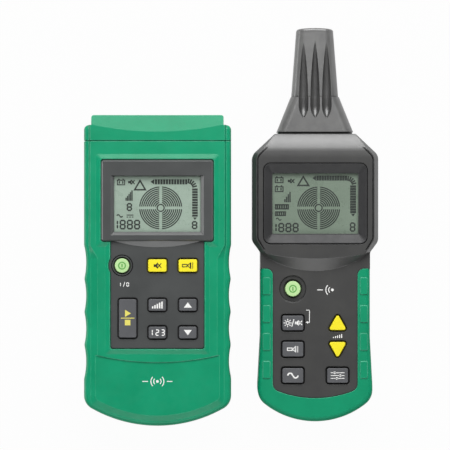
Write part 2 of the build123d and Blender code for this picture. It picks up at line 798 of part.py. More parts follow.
def screw_posts(unit, points, top):
    # Posts for the case screws up to the parting, and the holes that sink the heads at the back
    with BuildPart() as posts:
        with BuildSketch(unit.offset(wall - root)):
            with Locations(*points):
                Circle(screw_head_radius + pass_gap + box_wall)
        extrude(amount=top - wall + root)
    with BuildPart() as holes:
        with BuildSketch(unit):
            with Locations(*points):
                Circle(screw_head_radius + pass_gap)
        extrude(amount=screw_sink + screw_head_height)
        with BuildSketch(unit):
            with Locations(*points):
                Circle(screw_radius + pass_gap)
        extrude(amount=top)
    return posts.part, holes.part


tx_battery_walls, tx_battery_room = battery_space(
    tx, tx_cell_y, tx_box_size, tx_box_top, tx_door_y, tx_door_size
)
tx_rear_posts, tx_rear_holes = screw_posts(tx, tx_bosses, tx_parting)

with BuildPart() as tx_rear_case:
    add(tx_form.part)
    split(bisect_by=tx.offset(tx_parting), keep=Keep.BOTTOM)
    split(bisect_by=across(tx, tx_seam_y), keep=Keep.TOP)
    add(tx_space, mode=Mode.SUBTRACT)
    # Locating lip inside the joint with the front case
    lip_inset = wall + scallop_depth
    for floor, outer in ((tx_parting - lip_height, lip_inset - root), (tx_parting, lip_inset + lip_gap)):
        with BuildSketch(tx.offset(floor)):
            add(tx_outline(outer, tx_seam_y - 2 * lip_height))
            add(tx_outline(lip_inset + lip_gap + lip_wall, tx_seam_y), mode=Mode.SUBTRACT)
            with Locations(*tx_bosses):
                Circle(boss_radius + lip_relief, mode=Mode.SUBTRACT)
        extrude(amount=lip_height)
    add(tx_rear_posts)
    add(tx_battery_walls)
    add(tx_rear_holes, mode=Mode.SUBTRACT)
    add(tx_battery_room, mode=Mode.SUBTRACT)
save(tx_rear_case, "transmitter_rear_case")


def make_case_screws(unit, points, length, name):
    head = (screw_head_radius, screw_head_height)
    make_screws(unit, points, screw_sink, *head, screw_radius, length, name)


def make_door_screw(unit, point, name):
    length = door_thickness - door_head_height + door_screw_length
    make_screws(unit, [point], door_sink, screw_head_radius, door_head_height, screw_radius, length, name)


make_case_screws(tx, tx_bosses, tx_screw_length, "transmitter_case_screws")
tx_door_screw_at = make_door(tx, (0, tx_door_y), tx_door_size, "transmitter_battery_door")
make_door_screw(tx, tx_door_screw_at, "transmitter_door_screw")

# Block cell and its clip
cell9_x = -(cell9_length + clip_thickness) / 2
stud_z = tx_cell_z + cell9_height / 2
stud_points = [(tx_cell_y - stud_spacing / 2, stud_z), (tx_cell_y + stud_spacing / 2, stud_z)]
with BuildPart() as tx_battery:
    with BuildSketch(along(tx, cell9_x)):
        with Locations((tx_cell_y, stud_z)):
            RectangleRounded(cell9_width, cell9_height, cell9_round)
    extrude(amount=cell9_length)
    with BuildSketch(along(tx, cell9_x + cell9_length)):
        with Locations(*stud_points):
            Circle(stud_radius)
    extrude(amount=stud_length)
save(tx_battery, "transmitter_battery")

with BuildPart() as tx_battery_clip:
    with BuildSketch(along(tx, cell9_x + cell9_length)):
        with Locations((tx_cell_y, stud_z)):
            RectangleRounded(cell9_width - 2 * cell9_round, cell9_height - 2 * cell9_round, cell9_round)
    extrude(amount=clip_thickness)
    with BuildSketch(along(tx, cell9_x + cell9_length)):
        with Locations(*stud_points):
            Circle(stud_radius + seat_gap)
    extrude(amount=stud_length, mode=Mode.SUBTRACT)
save(tx_battery_clip, "transmitter_battery_clip")

# Cap over the upper end, with a groove along its seam and a tongue into the cases
tongue_outer = tx_hollow(lip_gap)
tongue_root = tx_hollow(-root)
tongue_inner = tx_hollow(lip_gap + lip_wall)
seam_inner = tx_hollow(tx_seam_depth - wall)
socket_points = {"signal": (-socket_spacing / 2, socket_height), "earth": (socket_spacing / 2, socket_height)}

with BuildPart() as tx_tongue:
    add(tongue_outer)
    split(bisect_by=across(tx, tx_seam_y), keep=Keep.TOP)
    split(bisect_by=across(tx, tx_seam_y - lip_height), keep=Keep.BOTTOM)
with BuildPart() as tx_tongue_root:
    add(tongue_root)
    split(bisect_by=across(tx, tx_seam_y + lip_height), keep=Keep.TOP)
    split(bisect_by=across(tx, tx_seam_y), keep=Keep.BOTTOM)
with BuildPart() as tx_seam:
    add(tx_form.part)
    split(bisect_by=across(tx, tx_seam_y + tx_seam_gap), keep=Keep.TOP)
    split(bisect_by=across(tx, tx_seam_y), keep=Keep.BOTTOM)
    add(seam_inner, mode=Mode.SUBTRACT)

with BuildPart() as tx_top_cap:
    add(tx_form.part)
    split(bisect_by=across(tx, tx_seam_y), keep=Keep.BOTTOM)
    add(tx_space, mode=Mode.SUBTRACT)
    add(tx_seam.part, mode=Mode.SUBTRACT)
    add(tx_tongue.part)
    add(tx_tongue_root.part)
    add(tongue_inner, mode=Mode.SUBTRACT)
    with BuildSketch(across(tx, tx_length)):
        with Locations(*socket_points.values()):
            Circle(socket_radius + seat_gap)
        with Locations((0, socket_height)):
            Circle(tx_torch_radius + seat_gap)
    extrude(amount=wall, mode=Mode.SUBTRACT)
save(tx_top_cap, "transmitter_top_cap")

for name, point in socket_points.items():
    with BuildPart() as socket:
        with BuildSketch(across(tx, tx_length)):
            with Locations(point):
                Circle(socket_radius)
        extrude(amount=socket_length)
        with BuildSketch(across(tx, tx_length - wall)):
            with Locations(point):
                Circle(socket_radius + socket_flange)
        extrude(amount=socket_flange_length)
        with BuildSketch(across(tx, tx_length)):
            with Locations(point):
                Circle(socket_bore + contact_wall)
        extrude(amount=socket_length, mode=Mode.SUBTRACT)
        chamfer(socket.faces().sort_by(Axis.Y)[-1].inner_wires()[0].edges(), contact_wall)
    save(socket, f"transmitter_{name}_socket")

with BuildPart() as tx_contacts:
    with BuildSketch(across(tx, tx_length - contact_sink)):
        with Locations(*socket_points.values()):
            Circle(socket_bore + contact_wall - thread_gap)
    extrude(amount=socket_length - contact_sink + contact_tail)
    with BuildSketch(across(tx, tx_length - socket_length)):
        with Locations(*socket_points.values()):
            Circle(socket_bore + contact_wall + contact_flange)
    extrude(amount=contact_flange)
    with BuildSketch(across(tx, tx_length - contact_sink)):
        with Locations(*socket_points.values()):
            Circle(socket_bore)
    extrude(amount=socket_length - contact_sink, mode=Mode.SUBTRACT)
save(tx_contacts, "transmitter_socket_contacts")


def make_torch(unit, end_y, height, radius, name):
    # Clear lens with a flange behind the end wall
    with BuildPart() as torch:
        with BuildSketch(across(unit, end_y - torch_sink)):
            with Locations((0, height)):
                Circle(radius)
        extrude(amount=torch_length)
        fillet(torch.edges().group_by(Axis.Y)[-1], torch_round)
        with BuildSketch(across(unit, end_y - wall)):
            with Locations((0, height)):
                Circle(radius + torch_flange)
        extrude(amount=torch_length + torch_sink - wall)
    save(torch, name)


make_torch(tx, tx_length, socket_height, tx_torch_radius, "transmitter_torch_lens")

# Transmitter front panel: display frame, keypad and the slope between them
tx_shafts = key_openings(tx, tx_keys, tx_seat_z, tx_depth - tx_seat_z, key_gap)
with BuildPart() as tx_panel:
    with BuildSketch(tx.offset(tx_seat_z)):
        with Locations((0, (tx_frame_top_y + tx_frame_low_y) / 2)):
            RectangleRounded(tx_frame_width, tx_frame_height, tx_panel_corner)
    extrude(amount=tx_depth - tx_seat_z)
    chamfer(tx_panel.faces().sort_by(Axis.Z)[-1].edges(), tx_frame_edge)
    with BuildSketch(tx.offset(tx_seat_z)):
        add(tx_panel_outline(0))
        with Locations((tx_power_x, tx_top_key_y)):
            Circle(tx_power_bulge)
    extrude(amount=tx_panel_thickness)
    with BuildSketch(tx.offset(tx_keypad_z)):
        half = tx_brow_width / 2
        with BuildLine():
            ThreePointArc((-half, tx_frame_low_y), (0, tx_frame_low_y - tx_brow_drop), (half, tx_frame_low_y))
            Line((half, tx_frame_low_y), (-half, tx_frame_low_y))
        make_face()
    brow_rise = tx_depth - tx_frame_edge - tx_keypad_z
    extrude(amount=sqrt(tx_brow_drop**2 + brow_rise**2), dir=(0, tx_brow_drop, brow_rise))
    # Raised ring and groove round the power key
    ring_radius = tx_power_diameter / 2 + key_gap + tx_power_ring
    with BuildSketch(tx.offset(tx_keypad_z)):
        with Locations((tx_power_x, tx_top_key_y)):
            Circle(ring_radius)
    extrude(amount=tx_power_ring_rise)
    with BuildSketch(tx.offset(tx_keypad_z)):
        with Locations((tx_power_x, tx_top_key_y)):
            Circle(ring_radius + tx_power_groove)
            Circle(ring_radius, mode=Mode.SUBTRACT)
    extrude(amount=-tx_power_groove_depth, mode=Mode.SUBTRACT)
    # Sloping sides of the window, then the seat of its glass from behind
    with BuildSketch(tx.offset(tx_lens_z)):
        with Locations((0, tx_window_y)):
            Rectangle(tx_window_width, tx_window_height)
    with BuildSketch(tx.offset(tx_depth)):
        with Locations((0, tx_window_y + (tx_window_brow - tx_window_bevel) / 2)):
            mouth_height = tx_window_height + tx_window_bevel + tx_window_brow
            Rectangle(tx_window_width + 2 * tx_window_bevel, mouth_height)
    loft(ruled=True, mode=Mode.SUBTRACT)
    with BuildSketch(tx.offset(tx_seat_z)):
        with Locations((0, tx_window_y)):
            Rectangle(tx_window_width + 2 * lens_ledge, tx_window_height + 2 * lens_ledge)
    extrude(amount=tx_lens_z - tx_seat_z, mode=Mode.SUBTRACT)
    add(tx_shafts, mode=Mode.SUBTRACT)
save(tx_panel, "transmitter_front_panel")


def make_display(unit, y, width, height, lens_z, board_z, unit_name):
    # Window glass, display and backlight, stacked down to the board
    display_z = lens_z - lens_thickness - display_gap
    layers = {
        "display_window": (lens_z - lens_thickness, lens_z, lens_ledge - seat_gap),
        "display": (display_z - display_thickness, display_z, lens_ledge - seat_gap),
        "backlight": (board_z, display_z - display_thickness, lens_ledge / 2),
    }
    for name, (floor, top, reach) in layers.items():
        with BuildPart() as layer:
            with BuildSketch(unit.offset(floor)):
                with Locations((0, y)):
                    Rectangle(width + 2 * reach, height + 2 * reach)
            extrude(amount=top - floor)
        save(layer, f"{unit_name}_{name}")


make_display(tx, tx_window_y, tx_window_width, tx_window_height, tx_lens_z, tx_board_z, "transmitter")
make_keys(tx, tx_keys, tx_seat_z, tx_key_top_z)
make_key_mat(tx, tx_keys, tx_board_z, "transmitter_key_mat")
make_domes(tx, tx_keys, tx_board_z, "transmitter_switch_domes")

with BuildPart() as tx_board:
    with BuildSketch(tx.offset(tx_board_back_z)):
        with Locations((0, (tx_board_low_y + tx_board_high_y) / 2)):
            Rectangle(2 * tx_board_half, tx_board_high_y - tx_board_low_y)
        with Locations(*tx_posts):
            Circle(board_screw_radius + pass_gap, mode=Mode.SUBTRACT)
    extrude(amount=board_thickness)
save(tx_board, "transmitter_circuit_board")


def make_board_screws(unit, points, board_back, name):
    head_floor = board_back - board_screw_head_height
    length = board_thickness + board_screw_grip
    head = (board_screw_head_radius, board_screw_head_height)
    make_screws(unit, points, head_floor, *head, board_screw_radius, length, name)


def make_buzzer(unit, x, y, board_back, name):
    # Round sounder under the board, with its sound hole
    with BuildPart() as buzzer:
        with BuildSketch(unit.offset(board_back - buzzer_height)):
            with Locations((x, y)):
                Circle(buzzer_radius)
        extrude(amount=buzzer_height)
        with BuildSketch(unit.offset(board_back - buzzer_height)):
            with Locations((x, y)):
                Circle(buzzer_hole_radius)
        extrude(amount=buzzer_hole_depth, mode=Mode.SUBTRACT)
    save(buzzer, name)


make_board_screws(tx, tx_posts, tx_board_back_z, "transmitter_board_screws")
make_buzzer(tx, tx_buzzer_x, tx_window_y, tx_board_back_z, "transmitter_buzzer")

with BuildPart() as tx_transformer:
    with BuildSketch(tx.offset(tx_board_back_z - transformer_height)):
        with Locations((transformer_x, tx_window_y)):
            Rectangle(transformer_length, transformer_width)
    extrude(amount=transformer_height)
    with BuildSketch(tx.offset(tx_board_back_z - (transformer_height + winding_height) / 2)):
        with Locations((transformer_x, tx_window_y)):
            RectangleRounded(winding_length, winding_width, cell9_round)
    extrude(amount=winding_height)
save(tx_transformer, "transmitter_output_transformer")

# Receiver heights, from the front down to the board
rx_face_z = rx_depth - rx_frame_rise
rx_handle_z = rx_face_z - rx_head_rise
rx_seat_z = rx_handle_z - rx_front_wall
rx_key_top_z = rx_handle_z + rx_key_rise
rx_stem_z = rx_seat_z - key_flange_height - key_stem_length
rx_board_z = rx_stem_z - key_travel - dome_gap - dome_height
rx_board_back_z = rx_board_z - board_thickness
rx_frame_z = rx_depth - rx_frame_thickness
rx_lens_z = rx_depth - rx_window_sink
boot_top_z = rx_handle_z + boot_rise

# Receiver distances from its lower end
rx_power_y = rx_keypad_end + rx_power_row
rx_neck_y = rx_power_y + rx_neck_rise
rx_head_low_y = rx_neck_y + rx_neck_length
rx_head_top_y = rx_head_low_y + rx_head_length
rx_shoulder_y = rx_head_top_y - rx_shoulder_drop
rx_cone_y = rx_head_top_y + rx_cone_gap
rx_foot_y = rx_cone_y + rx_cone_length
rx_tip_length = rx_length - rx_foot_y
rod_length = rod_seat + rx_tip_length - rod_end_gap
coil_length = rx_tip_length - rod_end_gap - coil_end_gap
boot_top_y = rx_neck_y - boot_drop
rx_frame_top_y = rx_head_top_y - rx_frame_drop
rx_frame_low_y = rx_frame_top_y - rx_frame_height
rx_frame_y = (rx_frame_top_y + rx_frame_low_y) / 2

rx_low_key_y = rx_keypad_end + rx_low_row
rx_mid_key_y = rx_low_key_y + rx_key_pitch
rx_high_key_y = rx_mid_key_y + rx_key_pitch
rx_up_y = rx_high_key_y + rx_arrow_spread
rx_down_y = rx_mid_key_y - rx_arrow_spread

# Keys: kind, x, y, width, height
rx_keys = {
    "receiver_power_key": ("round", -rx_key_column, rx_power_y, rx_power_diameter, rx_power_diameter),
    "receiver_light_key": ("block", -rx_key_column, rx_high_key_y, rx_key_width, rx_key_height),
    "receiver_torch_key": ("block", -rx_key_column, rx_mid_key_y, rx_key_width, rx_key_height),
    "receiver_mains_key": ("block", -rx_key_column, rx_low_key_y, rx_key_width, rx_key_height),
    "receiver_up_key": ("up", rx_key_column, rx_up_y, rx_arrow_width, rx_arrow_height),
    "receiver_down_key": ("down", rx_key_column, rx_down_y, rx_arrow_width, rx_arrow_height),
    "receiver_manual_key": ("block", rx_key_column, rx_low_key_y, rx_key_width, rx_key_height),
}


def round_corners(outline, y, radius):
    fillet(outline.vertices().filter_by_position(Axis.Y, y - near, y + near), radius)


def rx_outline(inset):
    # Plan outline of the handle and head, brought in by inset
    flare = rx_flare_width / 2
    waist = rx_handle_width / 2
    head = rx_head_width / 2
    corner_y = arc_height(rx_end_radius, flare)
    right = [
        (flare, corner_y),
        (flare, rx_flare_y),
        (waist, rx_waist_y),
        (waist, rx_neck_y),
        (head, rx_head_low_y),
        (head, rx_shoulder_y),
        (rx_top_width / 2, rx_head_top_y),
    ]
    left = [(-x, y) for x, y in reversed(right)]
    with BuildSketch() as outline:
        with BuildLine():
            ThreePointArc(left[-1], (0, 0), right[0])
            Polyline(*right, *left)
        make_face()
        round_corners(outline, corner_y, rx_end_corner)
        round_corners(outline, rx_flare_y, rx_side_blend)
        round_corners(outline, rx_waist_y, rx_side_blend)
        round_corners(outline, rx_neck_y, rx_neck_round)
        round_corners(outline, rx_head_low_y, rx_head_round)
        round_corners(outline, rx_shoulder_y, rx_head_round)
        round_corners(outline, rx_head_top_y, rx_top_round)
        if inset > 0:
            offset(amount=-inset, kind=Kind.INTERSECTION, mode=Mode.REPLACE)
    return outline.sketch


def rx_head_outline(chin_y, chin_side_y, right):
    # Plan outline of the head's raised front: a chin arc below, then the corners of its right side
    half = rx_chin_width / 2
    left = [(-x, y) for x, y in reversed(right)]
    with BuildSketch() as outline:
        with BuildLine():
            ThreePointArc((-half, chin_side_y), (0, chin_y), (half, chin_side_y))
            Polyline((half, chin_side_y), *right, *left, (-half, chin_side_y))
        make_face()
        neck, low, shoulder, top = right
        round_corners(outline, neck[1], rx_neck_round)
        round_corners(outline, low[1], rx_head_round)
        round_corners(outline, shoulder[1], rx_head_round)
        round_corners(outline, top[1], rx_top_round)
    return outline.sketch


def rx_keypad_outline():
    # Plan outline of the bare front of the handle: between the boot's borders, then full width above
    half = rx_keypad_width / 2
    wide = rx_handle_width / 2
    corner_y = rx_keypad_end + arc_height(rx_keypad_sweep, half)
    right = [(half, corner_y), (half, boot_top_y), (wide, boot_top_y), (wide, rx_neck_y)]
    left = [(-x, y) for x, y in reversed(right)]
    with BuildSketch() as outline:
        with BuildLine():
            ThreePointArc(left[-1], (0, rx_keypad_end), right[0])
            Polyline(*right, *left)
        make_face()
        fillet(outline.vertices().group_by(Axis.Y)[0], rx_keypad_corner)
        ends = outline.vertices().filter_by_position(Axis.Y, boot_top_y - near, boot_top_y + near)
        fillet(ends.sort_by(lambda end: abs(end.X))[:2], boot_top_round)
    return outline.sketch


# Handle inside the boot
with BuildPart() as rx_core:
    with BuildSketch(rx.offset(boot_lip)):
        add(rx_outline(boot_wall))
    extrude(amount=rx_handle_z - 2 * boot_lip)
    with BuildSketch(rx.offset(rx_handle_z - 2 * boot_lip)):
        add(rx_keypad_outline())
    extrude(amount=2 * boot_lip)
    with BuildSketch(rx):
        add(rx_outline(boot_wall + boot_back_border))
    extrude(amount=2 * boot_lip)
    split(bisect_by=across(rx, boot_top_y), keep=Keep.TOP)

# Receiver's whole case without the boot, later parted into its front and rear
with BuildPart() as rx_form:
    with BuildSketch(rx):
        add(rx_outline(0))
    extrude(amount=rx_handle_z)
    fillet(rx_form.faces().sort_by(Axis.Z)[0].edges(), rx_back_round)
    split(bisect_by=across(rx, boot_top_y), keep=Keep.BOTTOM)
    add(rx_core.part)
    # Head's raised front with sloping sides and chin
    chin_y = rx_neck_y - rx_chin_drop
    chin_side_y = chin_y + rx_chin_rise
    with BuildSketch(rx.offset(rx_handle_z)):
        base_corners = [
            (rx_handle_width / 2, rx_neck_y),
            (rx_head_width / 2, rx_head_low_y),
            (rx_head_width / 2, rx_shoulder_y),
            (rx_top_width / 2, rx_head_top_y),
        ]
        add(rx_head_outline(chin_y - rx_chin_slope, chin_side_y - rx_chin_side_slope, base_corners))
    with BuildSketch(rx.offset(rx_face_z)):
        face_corners = [
            (rx_face_neck_width / 2, rx_neck_y + rx_face_neck_rise),
            (rx_face_width / 2, rx_head_low_y + rx_face_low_rise),
            (rx_face_width / 2, rx_shoulder_y - rx_face_shoulder_drop),
            (rx_face_top_width / 2, rx_head_top_y),
        ]
        face_outline = rx_head_outline(chin_y, chin_side_y, face_corners)
        add(face_outline)
    loft(ruled=True)
    # Brow that curves back to the nose
    with BuildSketch(along(rx, 0)):
        brow_y = rx_head_top_y - rx_brow_length
        brow_radius = (rx_brow_length**2 + rx_brow_fall**2) / (2 * rx_brow_fall)
        brow_middle = rx_face_z - arc_height(brow_radius, rx_brow_length / 2)
        brow_end = (rx_head_top_y, rx_face_z - rx_brow_fall)
        with BuildLine():
            ThreePointArc((brow_y, rx_face_z), (brow_y + rx_brow_length / 2, brow_middle), brow_end)
            Polyline(brow_end, (rx_head_top_y, rx_face_z), (brow_y, rx_face_z))
        make_face()
    extrude(amount=rx_head_width / 2, both=True, mode=Mode.SUBTRACT)
    # Fine groove round the face, from its lower corners up to the brow
    groove_outer = offset(face_outline, amount=-rx_groove_inset, mode=Mode.PRIVATE)
    groove_inner = offset(face_outline, amount=-rx_groove_inset - rx_groove_width, mode=Mode.PRIVATE)
    with BuildSketch(rx.offset(rx_face_z - rx_groove_depth)):
        add(groove_outer)
        add(groove_inner, mode=Mode.SUBTRACT)
        with Locations((0, rx_neck_y + rx_face_neck_rise)):
            Rectangle(rx_head_width, rx_head_length, align=(Align.CENTER, Align.MAX), mode=Mode.SUBTRACT)
    extrude(amount=rx_groove_depth, mode=Mode.SUBTRACT)
    # Rib on the right side
    with BuildSketch(rx.offset(rx_rib_z)):
        with Locations((rx_head_width / 2 + rx_rib_rise, rx_head_top_y - rx_rib_drop)):
            Rectangle(rx_rib_rise + root, rx_rib_length, align=(Align.MAX, Align.MAX))
    extrude(amount=rx_rib_height)

with BuildPart() as rx_head_space:
    with BuildSketch(rx.offset(wall)):
        add(rx_outline(wall))
    extrude(amount=rx_seat_z - wall)
    split(bisect_by=across(rx, boot_top_y + wall), keep=Keep.BOTTOM)
with BuildPart() as rx_space:
    add(rx_head_space.part)
    with BuildSketch(rx.offset(boot_lip + box_wall)):
        add(rx_outline(boot_wall + wall))
    extrude(amount=rx_seat_z - boot_lip - box_wall)

rx_upper_boss_x = rx_head_width / 2 - rx_screw_inset
rx_upper_boss_y = rx_shoulder_y - rx_screw_drop
rx_lower_bosses = [(side * rx_screw_spacing / 2, rx_screw_rise) for side in (-1, 1)]
rx_bosses = rx_lower_bosses + [(side * rx_upper_boss_x, rx_upper_boss_y) for side in (-1, 1)]
rx_board_half = rx_upper_boss_x - boss_radius - rx_board_notch
rx_board_top_y = rx_frame_top_y + rx_board_rise + post_inset
rx_posts = [
    (side * x, y)
    for side in (-1, 1)
    for x, y in (
        (rx_board_width / 2 - post_inset, rx_board_end + post_inset),
        (rx_board_half - post_inset, rx_board_top_y - post_inset),
    )
]
rx_shafts = key_openings(rx, rx_keys, rx_seat_z, rx_front_wall, key_gap)

with BuildPart() as rx_spigot_hole:
    with BuildSketch(across(rx, rx_head_top_y)):
        with Locations((0, nose_height)):
            size = (spigot_width + 2 * seat_gap, spigot_depth + 2 * seat_gap)
            RectangleRounded(*size, spigot_corner + seat_gap)
    extrude(amount=wall)

with BuildPart() as rx_front_case:
    add(rx_form.part)
    split(bisect_by=rx.offset(rx_parting), keep=Keep.TOP)
    add(rx_space.part, mode=Mode.SUBTRACT)
    with BuildSketch(rx.offset(rx_parting)):
        with Locations(*rx_bosses):
            Circle(boss_radius)
    extrude(amount=rx_seat_z + root - rx_parting)
    with BuildSketch(rx.offset(rx_parting)):
        with Locations(*rx_bosses):
            Circle(screw_radius + thread_gap)
    extrude(amount=rx_seat_z - wall - rx_parting, mode=Mode.SUBTRACT)
    with BuildSketch(rx.offset(rx_board_z)):
        with Locations(*rx_posts):
            Circle(board_post_radius)
    extrude(amount=rx_seat_z + root - rx_board_z)
    with BuildSketch(rx.offset(rx_board_z)):
        with Locations(*rx_posts):
            Circle(board_screw_radius + thread_gap)
    extrude(amount=board_screw_grip + thread_gap, mode=Mode.SUBTRACT)
    # Seat and opening for the display frame
    with BuildSketch(rx.offset(rx_frame_z)):
        with Locations((0, rx_frame_y)):
            size = (rx_frame_width + 2 * panel_gap, rx_frame_height + 2 * panel_gap)
            RectangleRounded(*size, rx_frame_corner + panel_gap)
    extrude(amount=rx_frame_thickness, mode=Mode.SUBTRACT)
    with BuildSketch(rx.offset(rx_seat_z)):
        with Locations((0, rx_frame_y)):
            Rectangle(rx_frame_width - 2 * opening_ledge, rx_frame_height - 2 * opening_ledge)
    extrude(amount=rx_frame_z - rx_seat_z, mode=Mode.SUBTRACT)
    # Dished ring round the power key
    with BuildSketch(rx.offset(rx_handle_z - rx_power_dish_depth)):
        with Locations((-rx_key_column, rx_power_y)):
            Circle(rx_power_diameter / 2 + key_gap + rx_power_dish)
    extrude(amount=rx_power_dish_depth, mode=Mode.SUBTRACT)
    add(rx_shafts, mode=Mode.SUBTRACT)
    add(rx_spigot_hole.part, mode=Mode.SUBTRACT)
save(rx_front_case, "receiver_front_case")

# Battery space of the receiver: round cells in columns, with contact plates at both ends
rx_cell_z = door_sink + door_thickness + cell_gap + cell_radius
rx_cell_pitch = 2 * cell_radius + cell_gap
rx_cell_row_length = cells_in_line * cell_length + (cells_in_line - 1) * line_gap
rx_cell_y = rx_cell_end + rx_cell_row_length / 2
rx_cell_columns = [(column - (cell_columns - 1) / 2) * rx_cell_pitch for column in range(cell_columns)]
rx_box_size = (cell_columns * rx_cell_pitch + cell_gap, rx_cell_row_length + 2 * contact_thickness)
rx_box_top = rx_cell_z + cell_radius + cell_gap
rx_door_size = (rx_box_size[0] + 2 * door_ledge, rx_box_size[1] + 2 * door_ledge + door_screw_room)
rx_door_y = rx_cell_end - contact_thickness - door_ledge + rx_door_size[1] / 2
rx_battery_walls, rx_battery_room = battery_space(
    rx, rx_cell_y, rx_box_size, rx_box_top, rx_door_y, rx_door_size
)
rx_rear_posts, rx_rear_holes = screw_posts(rx, rx_bosses, rx_parting)

with BuildPart() as rx_rear_case:
    add(rx_form.part)
    split(bisect_by=rx.offset(rx_parting), keep=Keep.BOTTOM)
    add(rx_space.part, mode=Mode.SUBTRACT)
    # Locating rails inside the joint with the front case
    handle_half = rx_handle_width / 2 - boot_wall - wall
    head_half = rx_head_width / 2 - wall
    head_rail_low = rx_head_low_y + rx_head_round
    head_rail_high = rx_upper_boss_y - boss_radius
    rails = (
        (handle_half, rx_waist_y + rx_rail_margin, boot_top_y - rx_rail_margin),
        (head_half, head_rail_low, head_rail_high - rx_rail_margin),
    )
    for half, low, high in rails:
        for floor, outer in ((rx_parting - lip_height, half + root), (rx_parting, half - lip_gap)):
            rail_width = outer - (half - lip_gap - lip_wall)
            rail_x = outer - rail_width / 2
            with BuildSketch(rx.offset(floor)):
                with Locations(*[(side * rail_x, (low + high) / 2) for side in (-1, 1)]):
                    Rectangle(rail_width, high - low)
            extrude(amount=lip_height)
    add(rx_rear_posts)
    add(rx_battery_walls)
    add(rx_rear_holes, mode=Mode.SUBTRACT)
    add(rx_battery_room, mode=Mode.SUBTRACT)
    add(rx_spigot_hole.part, mode=Mode.SUBTRACT)
    with BuildSketch(across(rx, rx_head_top_y)):
        with Locations((0, rx_torch_height)):
            Circle(rx_torch_radius + seat_gap)
    extrude(amount=wall, mode=Mode.SUBTRACT)
save(rx_rear_case, "receiver_rear_case")
make_case_screws(rx, rx_bosses, rx_screw_length, "receiver_case_screws")
rx_door_screw_at = make_door(rx, (0, rx_door_y), rx_door_size, "receiver_battery_door")
make_door_screw(rx, rx_door_screw_at, "receiver_door_screw")
make_torch(rx, rx_head_top_y, rx_torch_height, rx_torch_radius, "receiver_torch_lens")

with BuildPart() as rx_cells:
    for line in range(cells_in_line):
        low = rx_cell_end + line * (cell_length + line_gap)
        with BuildSketch(across(rx, low + cell_length - nub_length)):
            with Locations(*[(x, rx_cell_z) for x in rx_cell_columns]):
                Circle(cell_radius)
        extrude(amount=cell_length - nub_length)
        with BuildSketch(across(rx, low + cell_length)):
            with Locations(*[(x, rx_cell_z) for x in rx_cell_columns]):
                Circle(nub_radius)
        extrude(amount=nub_length)
save(rx_cells, "receiver_battery_cells")

with BuildPart() as rx_battery_contacts:
    for y in (rx_cell_end, rx_cell_end + rx_cell_row_length + contact_thickness):
        with BuildSketch(across(rx, y)):
            with Locations(*[(x, rx_cell_z) for x in rx_cell_columns]):
                Rectangle(contact_width, contact_width)
        extrude(amount=contact_thickness)
save(rx_battery_contacts, "receiver_battery_contacts")

# Soft grip boot round the handle
boot_pads = [rx_keypad_end + pad_low + row * pad_pitch for row in range(pad_count)]
with BuildPart() as rx_boot:
    with BuildSketch(rx.offset(boot_back_gap)):
        add(rx_outline(0))
    extrude(amount=boot_top_z - boot_back_gap)
    split(bisect_by=across(rx, boot_top_y + boot_round), keep=Keep.TOP)
    faces = rx_boot.faces().sort_by(Axis.Z)
    fillet(faces[0].edges() + faces[-1].edges(), boot_round)
    split(bisect_by=across(rx, boot_top_y), keep=Keep.TOP)
    add(rx_core.part, mode=Mode.SUBTRACT)
    with BuildSketch(rx.offset(rx_handle_z - boot_lip)):
        add(rx_keypad_outline())
    extrude(amount=boot_lip + boot_rise, mode=Mode.SUBTRACT)
    # Raised pads along both borders
    with BuildSketch(rx.offset(boot_top_z - pad_root)):
        pad_x = rx_handle_width / 2 - pad_reach
        with Locations(*[(side * pad_x, y) for side in (-1, 1) for y in boot_pads]):
            RectangleRounded(pad_width, pad_height, pad_corner)
    extrude(amount=pad_root + pad_rise)
    fillet(rx_boot.edges().group_by(Axis.Z)[-1], pad_edge)
save(rx_boot, "receiver_grip_boot")

# Display frame with sloping sides down to the window
with BuildPart() as rx_frame:
    with BuildSketch(rx.offset(rx_frame_z)):
        with Locations((0, rx_frame_y)):
            RectangleRounded(rx_frame_width, rx_frame_height, rx_frame_corner)
    extrude(amount=rx_frame_thickness)
    with BuildSketch(rx.offset(rx_lens_z + rx_window_lip)):
        with Locations((0, rx_frame_y)):
            size = (rx_window_width + 2 * rx_window_ledge, rx_window_height + 2 * rx_window_ledge)
            RectangleRounded(*size, rx_window_corner)
    with BuildSketch(rx.offset(rx_depth)):
        with Locations((0, rx_frame_y)):
            size = (rx_frame_width - 2 * rx_frame_edge, rx_frame_height - 2 * rx_frame_edge)
            RectangleRounded(*size, rx_frame_corner - rx_frame_edge)
    loft(ruled=True, mode=Mode.SUBTRACT)
    with BuildSketch(rx.offset(rx_frame_z)):
        with Locations((0, rx_frame_y)):
            Rectangle(rx_window_width, rx_window_height)
    extrude(amount=rx_frame_thickness, mode=Mode.SUBTRACT)
    with BuildSketch(rx.offset(rx_frame_z)):
        with Locations((0, rx_frame_y)):
            Rectangle(rx_window_width + 2 * lens_ledge, rx_window_height + 2 * lens_ledge)
    extrude(amount=rx_lens_z - rx_frame_z, mode=Mode.SUBTRACT)
save(rx_frame, "receiver_display_frame")

make_display(rx, rx_frame_y, rx_window_width, rx_window_height, rx_lens_z, rx_board_z, "receiver")
make_keys(rx, rx_keys, rx_seat_z, rx_key_top_z)
make_key_mat(rx, rx_keys, rx_board_z, "receiver_key_mat")
make_domes(rx, rx_keys, rx_board_z, "receiver_switch_domes")

